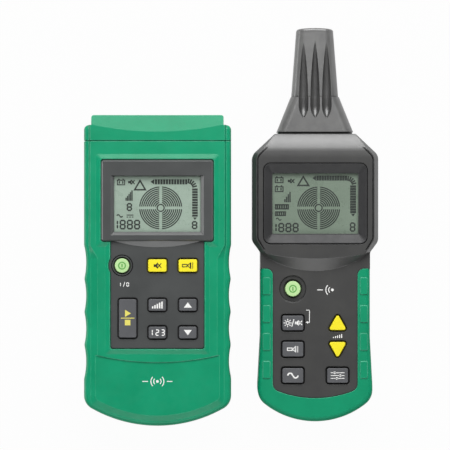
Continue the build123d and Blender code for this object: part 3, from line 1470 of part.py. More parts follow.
with BuildPart() as rx_board:
    with BuildSketch(rx.offset(rx_board_back_z)):
        with Locations((0, rx_board_end)):
            Rectangle(rx_board_width, rx_frame_low_y - rx_board_end, align=(Align.CENTER, Align.MIN))
        with Locations((0, rx_board_top_y)):
            Rectangle(2 * rx_board_half, rx_board_top_y - rx_frame_low_y, align=(Align.CENTER, Align.MAX))
        with Locations(*rx_posts):
            Circle(board_screw_radius + pass_gap, mode=Mode.SUBTRACT)
        with Locations(*rx_lower_bosses):
            Circle(boss_radius + rx_board_notch, mode=Mode.SUBTRACT)
    extrude(amount=board_thickness)
save(rx_board, "receiver_circuit_board")
make_board_screws(rx, rx_posts, rx_board_back_z, "receiver_board_screws")
make_buzzer(rx, 0, rx_frame_y, rx_board_back_z, "receiver_buzzer")

# Flutes along the probe: round grooves that widen from a point near the tip and end in the nose cone
flute_top_y = rx_length - flute_start
flute_end_y = rx_foot_y - flute_reach
tip_taper = (tip_base_depth - tip_end_depth) / 2 / (rx_tip_length - tip_crown)
cone_taper = (cone_base_depth - cone_top_depth) / 2 / rx_cone_length
flute_top_rise = tip_base_depth / 2 - tip_taper * (flute_top_y - rx_foot_y) + flute_lift
flute_end_rise = cone_top_depth / 2 + cone_taper * flute_reach + flute_lift

with BuildPart() as rx_flutes:
    for side in (-1, 1):
        for number in range(flute_count):
            lane = along(rx, (number - (flute_count - 1) / 2) * flute_spacing)
            top = Vector(flute_top_y, nose_height + side * flute_top_rise)
            run = Vector(flute_end_y, nose_height + side * flute_end_rise) - top
            out = Vector(0, 0, 1).cross(run).normalized()
            widest = top + run * (1 - flute_bullet / run.length) + out * flute_radius
            with BuildSketch(lane):
                with BuildLine():
                    Line(top + run, top)
                    TangentArc(widest, top, tangent=-run)
                    TangentArc(widest, top + run, tangent=run)
                make_face()
            start = lane.from_local_coords(top)
            revolve(axis=Axis(start, lane.from_local_coords(top + run) - start))

with BuildPart() as rx_cone:
    with BuildSketch(across(rx, rx_cone_y)):
        with Locations((0, nose_height)):
            RectangleRounded(cone_base_width, cone_base_depth, nose_corner)
    with BuildSketch(across(rx, rx_foot_y)):
        with Locations((0, nose_height)):
            RectangleRounded(cone_top_width, cone_top_depth, nose_corner)
    loft(ruled=True)
    # Collar on the head's top, then the spigot through it
    with BuildSketch(across(rx, rx_cone_y)):
        with Locations((0, nose_height)):
            size = (cone_base_width - 2 * rx_cone_side_groove, cone_base_depth - 2 * rx_cone_groove)
            RectangleRounded(*size, nose_corner - rx_cone_groove)
    extrude(amount=rx_cone_gap)
    with BuildSketch(across(rx, rx_cone_y)):
        with Locations((0, nose_height)):
            RectangleRounded(spigot_width, spigot_depth, spigot_corner)
    extrude(amount=rx_cone_gap + wall)
    with BuildSketch(across(rx, rx_head_top_y - wall)):
        with Locations((0, nose_height)):
            size = (spigot_width + 2 * spigot_flange, spigot_depth + 2 * spigot_flange)
            RectangleRounded(*size, spigot_corner)
    extrude(amount=spigot_flange_length)
    with BuildSketch(across(rx, rx_foot_y)):
        with Locations((0, nose_height)):
            Circle(rod_radius + rod_gap)
    extrude(amount=rod_seat, mode=Mode.SUBTRACT)
    add(rx_flutes.part, mode=Mode.SUBTRACT)
save(rx_cone, "receiver_nose_cone")

with BuildPart() as rx_tip:
    with BuildSketch(across(rx, rx_foot_y)):
        with Locations((0, nose_height)):
            RectangleRounded(tip_base_width, tip_base_depth, nose_corner)
    with BuildSketch(across(rx, rx_length - tip_crown)):
        with Locations((0, nose_height)):
            RectangleRounded(tip_end_width, tip_end_depth, nose_corner)
    loft(ruled=True)
    # Crowned end
    with BuildSketch(across(rx, rx_length - tip_crown)):
        with Locations((0, nose_height)):
            RectangleRounded(tip_end_width, tip_end_depth, nose_corner)
    extrude(amount=-tip_crown)
    with BuildSketch(rx.offset(nose_height)):
        half = tip_end_width / 2
        corner_y = rx_length - tip_crown + tip_round
        with BuildLine():
            ThreePointArc((-half, corner_y), (0, rx_length), (half, corner_y))
            above = rx_length + tip_round
            Polyline((half, corner_y), (half, above), (-half, above), (-half, corner_y))
        make_face()
    extrude(amount=tip_end_depth, both=True, mode=Mode.SUBTRACT)
    fillet(rx_tip.faces().sort_by(Axis.Y)[-1].edges(), tip_round)
    with BuildSketch(across(rx, rx_foot_y)):
        with Locations((0, nose_height)):
            Circle(coil_radius + coil_gap)
    extrude(amount=-(coil_length + coil_gap), mode=Mode.SUBTRACT)
    with BuildSketch(across(rx, rx_foot_y)):
        with Locations((0, nose_height)):
            Circle(rod_radius + rod_gap)
    extrude(amount=-(rod_length - rod_seat + rod_gap), mode=Mode.SUBTRACT)
    add(rx_flutes.part, mode=Mode.SUBTRACT)
save(rx_tip, "receiver_probe_tip")

with BuildPart() as rx_rod:
    with BuildSketch(across(rx, rx_foot_y - rod_seat)):
        with Locations((0, nose_height)):
            Circle(rod_radius)
    extrude(amount=-rod_length)
save(rx_rod, "receiver_antenna_rod")

with BuildPart() as rx_coil:
    with BuildSketch(across(rx, rx_foot_y)):
        with Locations((0, nose_height)):
            Circle(coil_radius)
            Circle(rod_radius + rod_gap, mode=Mode.SUBTRACT)
    extrude(amount=-coil_length)
save(rx_coil, "receiver_antenna_coil")
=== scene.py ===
import bpy
import math
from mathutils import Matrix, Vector


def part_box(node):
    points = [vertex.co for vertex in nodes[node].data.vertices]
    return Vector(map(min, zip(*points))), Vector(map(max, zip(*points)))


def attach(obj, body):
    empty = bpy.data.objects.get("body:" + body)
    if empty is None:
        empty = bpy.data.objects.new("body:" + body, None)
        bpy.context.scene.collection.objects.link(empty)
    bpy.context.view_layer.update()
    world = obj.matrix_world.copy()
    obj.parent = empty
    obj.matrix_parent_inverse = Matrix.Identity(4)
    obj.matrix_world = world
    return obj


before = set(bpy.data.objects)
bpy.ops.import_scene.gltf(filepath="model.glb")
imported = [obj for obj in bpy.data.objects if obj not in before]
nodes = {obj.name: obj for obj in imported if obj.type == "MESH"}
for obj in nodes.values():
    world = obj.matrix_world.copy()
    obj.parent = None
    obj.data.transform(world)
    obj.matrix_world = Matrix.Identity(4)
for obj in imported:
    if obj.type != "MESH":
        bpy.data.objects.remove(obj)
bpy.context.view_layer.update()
mm = 0.001
home = {  # middle of each unit's lower end, on the floor
    "transmitter": Vector((-45.45, -121.95, 0)) * mm,
    "receiver": Vector((51.05, -119.55, 0)) * mm,
}
keypadTop = {"transmitter": 40.3, "receiver": 33.5}  # height of each keypad above the floor, in mm
print("frame loaded,", len(nodes), "nodes")


def linear(red, green, blue):
    # colours are written as seen on a screen, 0 to 255
    out = []
    for level in (red, green, blue):
        share = level / 255
        out.append(share / 12.92 if share <= 0.04045 else ((share + 0.055) / 1.055) ** 2.4)
    return (*out, 1)


# Camera, straight above the pair

cameraSet = {"lens": 200, "sensor": 36, "spot": (-0.0042, 0.0009, 1.565)}
bpy.ops.object.select_all(action="DESELECT")
bpy.ops.object.camera_add(location=cameraSet["spot"], rotation=(0, 0, 0))
cameraObject = bpy.context.object
cameraObject.data.lens = cameraSet["lens"]
cameraObject.data.sensor_width = cameraSet["sensor"]
bpy.context.scene.camera = cameraObject
bpy.context.scene.view_settings.view_transform = "Standard"

# Studio

studioSet = {
    "white": (1, 1, 1, 1),
    "worldLevel": 0.19,
    "floorSize": 6.0,
    "floorDrop": 0.0004,
    "floorColour": (0.45, 0.45, 0.45, 1),  # for the light that it throws back on the part
    "floorWhite": 0.97,  # share of plain white in the floor as the camera sees it
    "aim": (0.0, 0.0, 0.02),
    "lamps": {  # place, size, power
        "keySoftbox": ((0.02, 0.89, 0.71), (1.1, 0.7), 15.0),
        "highSoftbox": ((0.05, 0.5, 1.25), (0.9, 0.4), 3.6),
        "lowSoftbox": ((0.0, -0.86, 0.83), (1.0, 0.7), 4.4),
        "leftStrip": ((-1.2, -0.1, 0.15), (1.0, 0.2), 3.6),
        "rightStrip": ((1.2, 0.1, 0.22), (1.2, 0.2), 1.1),
    },
}


def softbox(name, spot, size, power):
    bpy.ops.object.select_all(action="DESELECT")
    bpy.ops.object.light_add(type="AREA", location=spot)
    lamp = bpy.context.object
    lamp.name = name
    beam = Vector(studioSet["aim"]) - Vector(spot)
    lamp.rotation_euler = beam.to_track_quat("-Z", "Y").to_euler()
    lamp.data.shape = "RECTANGLE"
    lamp.data.size, lamp.data.size_y = size
    lamp.data.energy = power
    lamp.visible_camera = False


def paleFloor():
    # white to the camera, in reflections and through the windows, a matt grey for all other light
    finish = bpy.data.materials.new("paleFloor")
    finish.use_nodes = True
    tree = finish.node_tree
    tree.nodes.clear()
    join = tree.links.new
    rays = tree.nodes.new("ShaderNodeLightPath")
    cameraOrGloss = tree.nodes.new("ShaderNodeMath")
    cameraOrGloss.operation = "MAXIMUM"
    anyDirect = tree.nodes.new("ShaderNodeMath")
    anyDirect.operation = "MAXIMUM"
    share = tree.nodes.new("ShaderNodeMath")
    share.operation = "MULTIPLY"
    share.inputs[1].default_value = studioSet["floorWhite"]
    matt = tree.nodes.new("ShaderNodeBsdfDiffuse")
    matt.inputs["Color"].default_value = studioSet["floorColour"]
    glow = tree.nodes.new("ShaderNodeEmission")
    glow.inputs["Color"].default_value = studioSet["white"]
    mix = tree.nodes.new("ShaderNodeMixShader")
    out = tree.nodes.new("ShaderNodeOutputMaterial")
    join(rays.outputs["Is Camera Ray"], cameraOrGloss.inputs[0])
    join(rays.outputs["Is Glossy Ray"], cameraOrGloss.inputs[1])
    join(cameraOrGloss.outputs[0], anyDirect.inputs[0])
    join(rays.outputs["Is Transmission Ray"], anyDirect.inputs[1])
    join(anyDirect.outputs[0], share.inputs[0])
    join(share.outputs[0], mix.inputs[0])
    join(matt.outputs[0], mix.inputs[1])
    join(glow.outputs[0], mix.inputs[2])
    join(mix.outputs[0], out.inputs[0])
    return finish


studio = bpy.data.worlds.new("studio")
studio.use_nodes = True
backdrop = studio.node_tree.nodes["Background"]
backdrop.inputs["Color"].default_value = studioSet["white"]
backdrop.inputs["Strength"].default_value = studioSet["worldLevel"]
bpy.context.scene.world = studio
for lampName, (spot, size, power) in studioSet["lamps"].items():
    softbox(lampName, spot, size, power)
bpy.ops.object.select_all(action="DESELECT")
floorSpot = (0, 0, -studioSet["floorDrop"])
bpy.ops.mesh.primitive_plane_add(size=studioSet["floorSize"], location=floorSpot)
floor = bpy.context.object
floor.name = "floor"
floor.data.materials.append(paleFloor())
print("camera, floor and lamps placed")


# Finishes


def newFinish(name):
    finish = bpy.data.materials.new(name)
    finish.use_nodes = True
    tree = finish.node_tree
    return finish, tree, tree.nodes["Principled BSDF"]


def noiseOn(tree, scale, detail=3.0, rough=0.55, stretch=(1, 1, 1)):
    place = tree.nodes.new("ShaderNodeTexCoord")
    spread = tree.nodes.new("ShaderNodeMapping")
    spread.inputs["Scale"].default_value = stretch
    noise = tree.nodes.new("ShaderNodeTexNoise")
    noise.inputs["Scale"].default_value = scale
    noise.inputs["Detail"].default_value = detail
    noise.inputs["Roughness"].default_value = rough
    tree.links.new(place.outputs["Object"], spread.inputs["Vector"])
    tree.links.new(spread.outputs["Vector"], noise.inputs["Vector"])
    return noise.outputs["Fac"]


def between(tree, value, low, high, fromLow=0.3, fromHigh=0.7):
    # the usual span is where most of a noise lies
    span = tree.nodes.new("ShaderNodeMapRange")
    span.inputs["From Min"].default_value = fromLow
    span.inputs["From Max"].default_value = fromHigh
    span.inputs["To Min"].default_value = low
    span.inputs["To Max"].default_value = high
    tree.links.new(value, span.inputs["Value"])
    return span.outputs["Result"]


def mixColour(tree, factor, first, second):
    mix = tree.nodes.new("ShaderNodeMix")
    mix.data_type = "RGBA"
    tree.links.new(factor, mix.inputs["Factor"])
    for socket, colour in ((mix.inputs[6], first), (mix.inputs[7], second)):  # the colour pair
        if isinstance(colour, tuple):
            socket.default_value = colour
        else:
            tree.links.new(colour, socket)
    return mix.outputs[2]


def mottle(tree, noise, look):
    return mixColour(tree, between(tree, noise, 0, 1), linear(*look["dark"]), linear(*look["light"]))


def roughen(tree, shader, noise, look):
    low = look["rough"] - look["roughSpread"]
    high = look["rough"] + look["roughSpread"]
    tree.links.new(between(tree, noise, low, high), shader.inputs["Roughness"])


def roughGrain(tree, shader, noise, look):
    grain = tree.nodes.new("ShaderNodeBump")
    grain.inputs["Strength"].default_value = look["grainDepth"]
    grain.inputs["Distance"].default_value = look["grainHeight"] * mm
    tree.links.new(noise, grain.inputs["Height"])
    tree.links.new(grain.outputs["Normal"], shader.inputs["Normal"])
    return grain


usualMoulded = {
    "cloud": 45,  # scale of the noise, as patches, polish and grain are
    "grime": 0.4,  # share of the colour left in the corners by painted shade, 1 for none
    "grimeSpan": (0.3, 0.9),  # openness from full painted shade to none
    "reach": 2.5,  # how far the painted shade goes from a corner, in mm
    "cornerSamples": 8,
    "edge": 0.35,  # radius of the softened edges, in mm
    "edgeSamples": 4,
    "wear": 0.5,  # share of the worn colour on the edges, partly wear and partly painted highlight
    "wearSpan": (0.75, 0.97),  # turn of the softened normal from full wear and highlight to none
    "patches": 160,
    "patchLow": 0.2,
    "polish": 220,
    "roughSpread": 0.05,
    "grain": 2200,
    "grainDepth": 0.12,
    "grainHeight": 0.05,
    "gloss": 0.5,
    "levelSpan": (0.97, 0.99),  # upward part of the normal from slope to level
    # painted shade in the gap round each key
    "skirtColour": (18, 18, 19),
    "skirtFade": 0.2,
}


def moulded(ownLook):
    # moulded plastic or rubber: cloudy colour, painted shade in the corners, fine grain, soft edges
    # lightened as wear and as painted highlight
    look = dict(usualMoulded, **ownLook)
    finish, tree, shader = newFinish(look["name"])
    join = tree.links.new
    tone = mottle(tree, noiseOn(tree, look["cloud"], detail=4), look)
    if "skirt" in look:  # painted shade: the key's skirt is black up to the keypad's height, so that the gap round a key reads as a dark line
        place = tree.nodes.new("ShaderNodeTexCoord")
        axes = tree.nodes.new("ShaderNodeSeparateXYZ")
        join(place.outputs["Object"], axes.inputs[0])
        skirtEnd = look["skirt"] + look["skirtFade"]
        rise = between(tree, axes.outputs["Z"], 0, 1, look["skirt"] * mm, skirtEnd * mm)
        tone = mixColour(tree, rise, linear(*look["skirtColour"]), tone)
    # painted shade: ambient occlusion darkens the colour in corners, creases, grooves and the gaps between
    # parts
    if look["grime"] < 1:
        corner = tree.nodes.new("ShaderNodeAmbientOcclusion")
        corner.samples = look["cornerSamples"]
        corner.inputs["Distance"].default_value = look["reach"] * mm
        grime = [level * look["grime"] for level in look["dark"]]
        clear = between(tree, corner.outputs["AO"], 0, 1, *look["grimeSpan"])
        tone = mixColour(tree, clear, linear(*grime), tone)
    # the softened Bevel normal lightens the edges: partly wear, partly painted highlight
    edge = tree.nodes.new("ShaderNodeBevel")
    edge.samples = look["edgeSamples"]
    edge.inputs["Radius"].default_value = look["edge"] * mm
    shape = tree.nodes.new("ShaderNodeNewGeometry")
    facing = tree.nodes.new("ShaderNodeVectorMath")
    facing.operation = "DOT_PRODUCT"
    join(edge.outputs["Normal"], facing.inputs[0])
    join(shape.outputs["Normal"], facing.inputs[1])
    patchy = tree.nodes.new("ShaderNodeMath")
    patchy.operation = "MULTIPLY"
    join(between(tree, facing.outputs["Value"], look["wear"], 0, *look["wearSpan"]), patchy.inputs[0])
    join(between(tree, noiseOn(tree, look["patches"]), look["patchLow"], 1), patchy.inputs[1])
    tone = mixColour(tree, patchy.outputs[0], tone, linear(*look["worn"]))
    join(tone, shader.inputs["Base Color"])
    roughen(tree, shader, noiseOn(tree, look["polish"]), look)
    grain = roughGrain(tree, shader, noiseOn(tree, look["grain"], detail=2), look)
    join(edge.outputs["Normal"], grain.inputs["Normal"])
    shader.inputs["Specular IOR Level"].default_value = look["gloss"]
    if "levelGloss" in look:  # level faces are finely textured, so they shine less than the slopes
        lean = tree.nodes.new("ShaderNodeSeparateXYZ")
        join(shape.outputs["Normal"], lean.inputs[0])
        shine = between(tree, lean.outputs["Z"], look["gloss"], look["levelGloss"], *look["levelSpan"])
        join(shine, shader.inputs["Specular IOR Level"])
    return finish


usualMetal = {
    "lines": 900,
    "lineRough": 0.6,
    "drawn": (1, 12, 1),
    "roughSpread": 0.07,
    "grainDepth": 0.08,
    "grainHeight": 0.03,
}


def metal(ownLook):
    # plated or bare metal with fine drawn lines
    look = dict(usualMetal, **ownLook)
    finish, tree, shader = newFinish(look["name"])
    lines = noiseOn(tree, look["lines"], rough=look["lineRough"], stretch=look["drawn"])
    tree.links.new(mottle(tree, lines, look), shader.inputs["Base Color"])
    roughen(tree, shader, lines, look)
    roughGrain(tree, shader, lines, look)
    shader.inputs["Metallic"].default_value = 1.0
    return finish


usualSheet = {
    "gloss": 0.5,
    "smear": 90,
    "smearRough": 0.6,
    "smearStretch": (1, 3, 1),
    "roughMore": 0.08,
    "veilMore": 0.03,
}


def clearSheet(ownLook):
    # thin clear plastic that lets the display show through, with faint smears
    look = dict(usualSheet, **ownLook)
    finish, tree, shader = newFinish(look["name"])
    shader.inputs["Base Color"].default_value = linear(*look["tint"])
    shader.inputs["Specular IOR Level"].default_value = look["gloss"]
    smear = noiseOn(tree, look["smear"], rough=look["smearRough"], stretch=look["smearStretch"])
    polish = between(tree, smear, look["rough"], look["rough"] + look["roughMore"])
    veil = between(tree, smear, look["veil"], look["veil"] + look["veilMore"])
    tree.links.new(polish, shader.inputs["Roughness"])
    tree.links.new(veil, shader.inputs["Alpha"])
    return finish


usualInk = {"speckle": 3000, "roughSpread": 0.05}


def ink(ownLook):
    # printed ink, slightly mottled
    look = dict(usualInk, **ownLook)
    finish, tree, shader = newFinish(look["name"])
    speckle = noiseOn(tree, look["speckle"], detail=2)
    tree.links.new(mottle(tree, speckle, look), shader.inputs["Base Color"])
    roughen(tree, shader, speckle, look)
    return finish


# the corner shares paint shade into hollows; the worn colours lighten the edges as wear and as painted
# highlight
mouldedLooks = (
    {
        "name": "greenPlastic", "dark": (4, 138, 97), "light": (14, 149, 107), "worn": (120, 210, 176),
        "rough": 0.34, "gloss": 0.32, "grainDepth": 0.1, "grime": 0.85,
        "wear": 0.8, "wearSpan": (0.95, 0.998), "edge": 0.5,
    },
    {
        "name": "darkPanel", "dark": (66, 68, 68), "light": (74, 76, 76), "worn": (122, 124, 126),
        "rough": 0.34, "roughSpread": 0.02, "gloss": 1.0, "levelGloss": 0.35,
        "grime": 0.22, "grimeSpan": (0.55, 0.92),
    },
    {
        "name": "darkPlastic", "dark": (61, 61, 61), "light": (69, 69, 68), "worn": (118, 118, 118),
        "rough": 0.35, "roughSpread": 0.02, "gloss": 1.0, "levelGloss": 0.35,
        "grainDepth": 0.2, "edge": 0.9, "grime": 0.22, "grimeSpan": (0.55, 0.92),
    },
    {
        "name": "nosePlastic", "dark": (86, 86, 86), "light": (100, 100, 99), "worn": (155, 155, 155),
        "rough": 0.3, "roughSpread": 0.02, "gloss": 1.0, "levelGloss": 0.6, "cloud": 120,
        "grainDepth": 0.2, "reach": 5.0, "grime": 0.2, "grimeSpan": (0.7, 0.98),
    },
    {
        "name": "framePlastic", "dark": (48, 48, 49), "light": (55, 55, 56), "worn": (125, 125, 126),
        "rough": 0.42, "gloss": 0.3,
    },
    {
        "name": "greenRubber", "dark": (0, 135, 95), "light": (6, 145, 103), "worn": (112, 206, 172),
        "rough": 0.5, "gloss": 0.22, "grain": 1500, "grainDepth": 0.3, "grime": 0.6,
        "wear": 0.9, "wearSpan": (0.93, 0.998), "edge": 0.55,
    },
    {
        "name": "transmitter.displayGlass",
        "dark": (147, 165, 151), "light": (157, 175, 161), "worn": (163, 180, 167),
        "rough": 0.3, "grain": 4000, "grainDepth": 0.03, "grime": 1,
    },
    {
        "name": "receiver.displayGlass",
        "dark": (111, 126, 111), "light": (121, 136, 121), "worn": (128, 142, 128),
        "rough": 0.3, "grain": 4000, "grainDepth": 0.03, "grime": 1,
    },
    {
        "name": "diffuser", "dark": (225, 228, 218), "light": (238, 240, 232), "worn": (240, 242, 236),
        "rough": 0.45,
    },
    {
        "name": "circuitBoard", "dark": (18, 82, 46), "light": (28, 104, 60), "worn": (140, 150, 90),
        "rough": 0.3, "cloud": 400,
    },
    {
        "name": "softMat", "dark": (26, 26, 27), "light": (36, 36, 37), "worn": (70, 70, 70),
        "rough": 0.6,
    },
    {
        "name": "blackPlastic", "dark": (34, 34, 35), "light": (44, 44, 45), "worn": (90, 90, 90),
        "rough": 0.4,
    },
    {
        "name": "redInsulation", "dark": (176, 28, 26), "light": (196, 38, 34), "worn": (220, 90, 84),
        "rough": 0.34,
    },
    {
        "name": "blackInsulation", "dark": (28, 28, 29), "light": (38, 38, 39), "worn": (84, 84, 84),
        "rough": 0.34,
    },
    {
        "name": "transformerCore", "dark": (84, 82, 80), "light": (112, 110, 106), "worn": (150, 146, 140),
        "rough": 0.5, "cloud": 300,
    },
    {
        "name": "cellJacket", "dark": (34, 52, 104), "light": (48, 70, 130), "worn": (150, 156, 170),
        "rough": 0.3,
    },
    {
        "name": "ferrite", "dark": (62, 62, 64), "light": (80, 80, 82), "worn": (104, 104, 106),
        "rough": 0.55, "cloud": 600,
    },
    {
        "name": "copperWinding", "dark": (150, 78, 34), "light": (186, 104, 50), "worn": (205, 130, 80),
        "rough": 0.35, "grain": 900, "grainDepth": 0.6,
    },
)
keyLooks = (
    {
        "name": "paleGreenKey", "dark": (174, 212, 146), "light": (186, 222, 158), "worn": (205, 240, 185),
        "rough": 0.42, "gloss": 0.4,
    },
    {
        "name": "yellowKey", "dark": (234, 219, 26), "light": (245, 231, 40), "worn": (253, 244, 120),
        "rough": 0.46, "gloss": 0.4,
    },
    {
        "name": "greyKey", "dark": (80, 81, 84), "light": (89, 90, 93), "worn": (150, 151, 155),
        "rough": 0.46, "gloss": 0.4,
    },
)
metalLooks = (
    {"name": "springMetal", "dark": (176, 176, 176), "light": (206, 206, 204), "rough": 0.3},
    {
        "name": "screwSteel", "dark": (158, 160, 163), "light": (192, 194, 196), "rough": 0.34,
        "drawn": (1, 1, 1),
    },
    {"name": "contactBrass", "dark": (196, 164, 92), "light": (222, 192, 120), "rough": 0.28},
)
sheetLooks = (
    {"name": "clearWindow", "tint": (150, 160, 152), "rough": 0.06, "veil": 0.01},
    {"name": "torchLens", "tint": (226, 230, 234), "rough": 0.08, "veil": 0.3},
)
inkLooks = (
    {"name": "segmentInk", "dark": (12, 22, 17), "light": (20, 31, 26), "rough": 0.6},
    {"name": "whiteInk", "dark": (228, 228, 226), "light": (242, 242, 240), "rough": 0.5},
    {"name": "blackInk", "dark": (46, 40, 14), "light": (58, 51, 20), "rough": 0.5},
    {"name": "yellowInk", "dark": (214, 204, 92), "light": (228, 218, 108), "rough": 0.5},
    {"name": "greenInk", "dark": (86, 156, 70), "light": (98, 168, 80), "rough": 0.5},
)
finishes = {}
looksOf = {moulded: mouldedLooks, metal: metalLooks, clearSheet: sheetLooks, ink: inkLooks}
for make, looks in looksOf.items():
    for look in looks:
        finishes[look["name"]] = make(look)
for look in keyLooks:  # one for each unit, because the keypads' heights differ
    for unit, height in keypadTop.items():
        keyName = unit + "." + look["name"]
        finishes[keyName] = moulded(dict(look, name=keyName, skirt=height))


def finishFor(slotName):
    # a slot called green_plastic in the CAD takes the finish greenPlastic
    first, *rest = slotName.split(".")[0].split("_")
    return first + "".join(word.capitalize() for word in rest)


for nodeName, node in nodes.items():
    for slot in node.material_slots:
        finishName = finishFor(slot.material.name)
        if finishName.endswith(("Key", "displayGlass")):  # these have a look for each unit
            finishName = nodeName.split("_")[0] + "." + finishName
        slot.material = finishes[finishName]
print("finishes made and put on the nodes")


# Prints: flat marks drawn with bars, rings and triangles in millimetres, then raised a little

printHeight = 0.04


def startPiece(name):
    bpy.ops.object.select_all(action="DESELECT")
    bpy.ops.object.add(type="MESH", location=(0, 0, 0))
    piece = bpy.context.object
    piece.name = name
    piece.data.name = name
    bpy.ops.object.mode_set(mode="EDIT")
    return piece


def endPiece(piece, finishName, body):
    bpy.ops.mesh.select_all(action="SELECT")
    bpy.ops.mesh.extrude_region_move(TRANSFORM_OT_translate={"value": (0, 0, printHeight * mm)})
    bpy.ops.mesh.select_all(action="SELECT")
    bpy.ops.mesh.normals_make_consistent(inside=False)
    bpy.ops.object.mode_set(mode="OBJECT")
    piece.data.materials.append(finishes[finishName])
    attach(piece, body)


def turnPart(angle, middle):
    # without a window the operator turns clockwise for a positive angle
    bpy.ops.transform.rotate(value=-math.radians(angle), orient_axis="Z", center_override=middle)


def addBar(sheet, x, y, width, height, turn=0, cut=0):
    middle = sheet + Vector((x, y, 0)) * mm
    bpy.ops.mesh.primitive_plane_add(size=mm, location=middle)
    bpy.ops.transform.resize(value=(width, height, 1), center_override=middle)
    if cut:
        bpy.ops.mesh.bevel(offset=cut * mm, affect="VERTICES", segments=1)
    if turn:
        turnPart(turn, middle)


def addTriangle(sheet, x, y, width, height, turn=0):
    # a circle of three points is 1.5 radii tall, and half its height is a quarter radius above its centre
    middle = sheet + Vector((x, y, 0)) * mm
    centre = middle - Vector((0, 0.25 * mm, 0))
    bpy.ops.mesh.primitive_circle_add(vertices=3, radius=mm, fill_type="NGON", location=centre)
    bpy.ops.transform.resize(value=(width / math.sqrt(3), height / 1.5, 1), center_override=middle)
    if turn:
        turnPart(turn, middle)


def hollowOut(stroke):
    # leaves only a rim of the face just drawn
    bpy.ops.mesh.inset(thickness=stroke * mm)
    bpy.ops.mesh.delete(type="FACE")


def addDisc(sheet, x, y, radius, sides=24):
    middle = sheet + Vector((x, y, 0)) * mm
    size = radius * mm
    bpy.ops.mesh.primitive_circle_add(vertices=sides, radius=size, fill_type="NGON", location=middle)


def addRing(sheet, x, y, radius, stroke, sides=64):
    addDisc(sheet, x, y, radius, sides)
    hollowOut(stroke)


def addFrame(sheet, x, y, width, height, stroke):
    addBar(sheet, x, y, width, height)
    hollowOut(stroke)


def keepAside():
    # hides what is drawn so far, so that a cut leaves it alone
    bpy.ops.mesh.select_all(action="SELECT")
    bpy.ops.mesh.hide(unselected=False)


def bringBack():
    bpy.ops.mesh.reveal(select=False)


def trim(place, side):
    # cuts away what lies on the far side of a line through place
    bpy.ops.mesh.select_all(action="SELECT")
    bpy.ops.mesh.bisect(plane_co=place, plane_no=(side[0], side[1], 0), clear_inner=True)


def addArc(sheet, x, y, radius, stroke, sides):
    # ring cut by lines through its middle, each given by the side that stays
    keepAside()
    addRing(sheet, x, y, radius, stroke)
    for side in sides:
        trim(sheet + Vector((x, y, 0)) * mm, side)
    bringBack()


figureShape = {"gap": 0.1, "cut": 0.4}  # shares of the stroke


def addFigure(sheet, x, y, width, height, stroke, bars="abcdefg"):
    # seven-bar figure, x and y at its middle, bars in the usual order from the top clockwise
    side = (width - stroke) / 2
    end = (height - stroke) / 2
    gap = figureShape["gap"] * stroke
    flat = (width - stroke - 2 * gap, stroke)
    tall = (stroke, end - 2 * gap)
    places = {
        "a": (0, end, flat),
        "b": (side, end / 2, tall),
        "c": (side, -end / 2, tall),
        "d": (0, -end, flat),
        "e": (-side, -end / 2, tall),
        "f": (-side, end / 2, tall),
        "g": (0, 0, flat),
    }
    for bar in bars:
        across, up, size = places[bar]
        addBar(sheet, x + across, y + up, *size, cut=figureShape["cut"] * stroke)


speakerShape = {  # shares of its size: place, width and height
    "box": (-0.36, 0.22, 0.36),
    "horn": (-0.16, 0.86, 0.4),
    "cross": (0.27, 0.8),
    "crossTurn": 40,
}


def addSpeaker(sheet, x, y, size, stroke):
    # loudspeaker with a cross
    place, width, height = speakerShape["box"]
    addBar(sheet, x + place * size, y, width * size, height * size)
    place, width, height = speakerShape["horn"]
    addTriangle(sheet, x + place * size, y, width * size, height * size, turn=90)
    place, height = speakerShape["cross"]
    for turn in (speakerShape["crossTurn"], -speakerShape["crossTurn"]):
        addBar(sheet, x + place * size, y, stroke, height * size, turn=turn)


torchShape = {  # shares of its size: place, width and height
    "handle": (-0.28, 0.5, 0.3),
    "head": (0.08, 0.58, 0.32),
    "headStroke": 0.8,  # share of the stroke
    "lines": ((0.26, 1.0), (0.44, 0.7)),  # place, share of the stroke
    "lineHeight": 0.58,
}


def addTorch(sheet, x, y, size, stroke):
    place, width, height = torchShape["handle"]
    addFrame(sheet, x + place * size, y, width * size, height * size, stroke)
    place, width, height = torchShape["head"]
    addTriangle(sheet, x + place * size, y, width * size, height * size, turn=90)
    hollowOut(torchShape["headStroke"] * stroke)
    for place, weight in torchShape["lines"]:
        addBar(sheet, x + place * size, y, weight * stroke, torchShape["lineHeight"] * size)


sunShape = {  # radius, reach and ray are shares of its size
    "radius": 0.25,
    "sides": 24,
    "reach": 0.42,
    "ray": 0.2,
    "step": 45,
}


def addSun(sheet, x, y, size, stroke):
    addRing(sheet, x, y, sunShape["radius"] * size, stroke, sunShape["sides"])
    reach = sunShape["reach"] * size
    for turn in range(0, 360, sunShape["step"]):
        way = math.radians(turn)
        rayMiddle = (x + reach * math.cos(way), y + reach * math.sin(way))
        addBar(sheet, *rayMiddle, sunShape["ray"] * size, stroke, turn=turn)


def addLevels(sheet, x, y, width, height, count, stroke, lowest=0.3):
    for step in range(count):
        share = step / (count - 1)
        tall = height * (lowest + (1 - lowest) * share)
        middle = x - width / 2 + stroke / 2 + share * (width - stroke)
        addBar(sheet, middle, y - height / 2 + tall / 2, stroke, tall)


def addWave(sheet, x, y, size, stroke):
    # one sine wave from two half rings
    radius = size / 4 + stroke / 4
    addArc(sheet, x - size / 4, y, radius, stroke, [(0, 1)])
    addArc(sheet, x + size / 4, y, radius, stroke, [(0, -1)])


signalShape = {"dot": 0.5, "arcs": (1.5, 2.5), "line": 2.0, "lineOut": 4.4}  # shares of the pitch


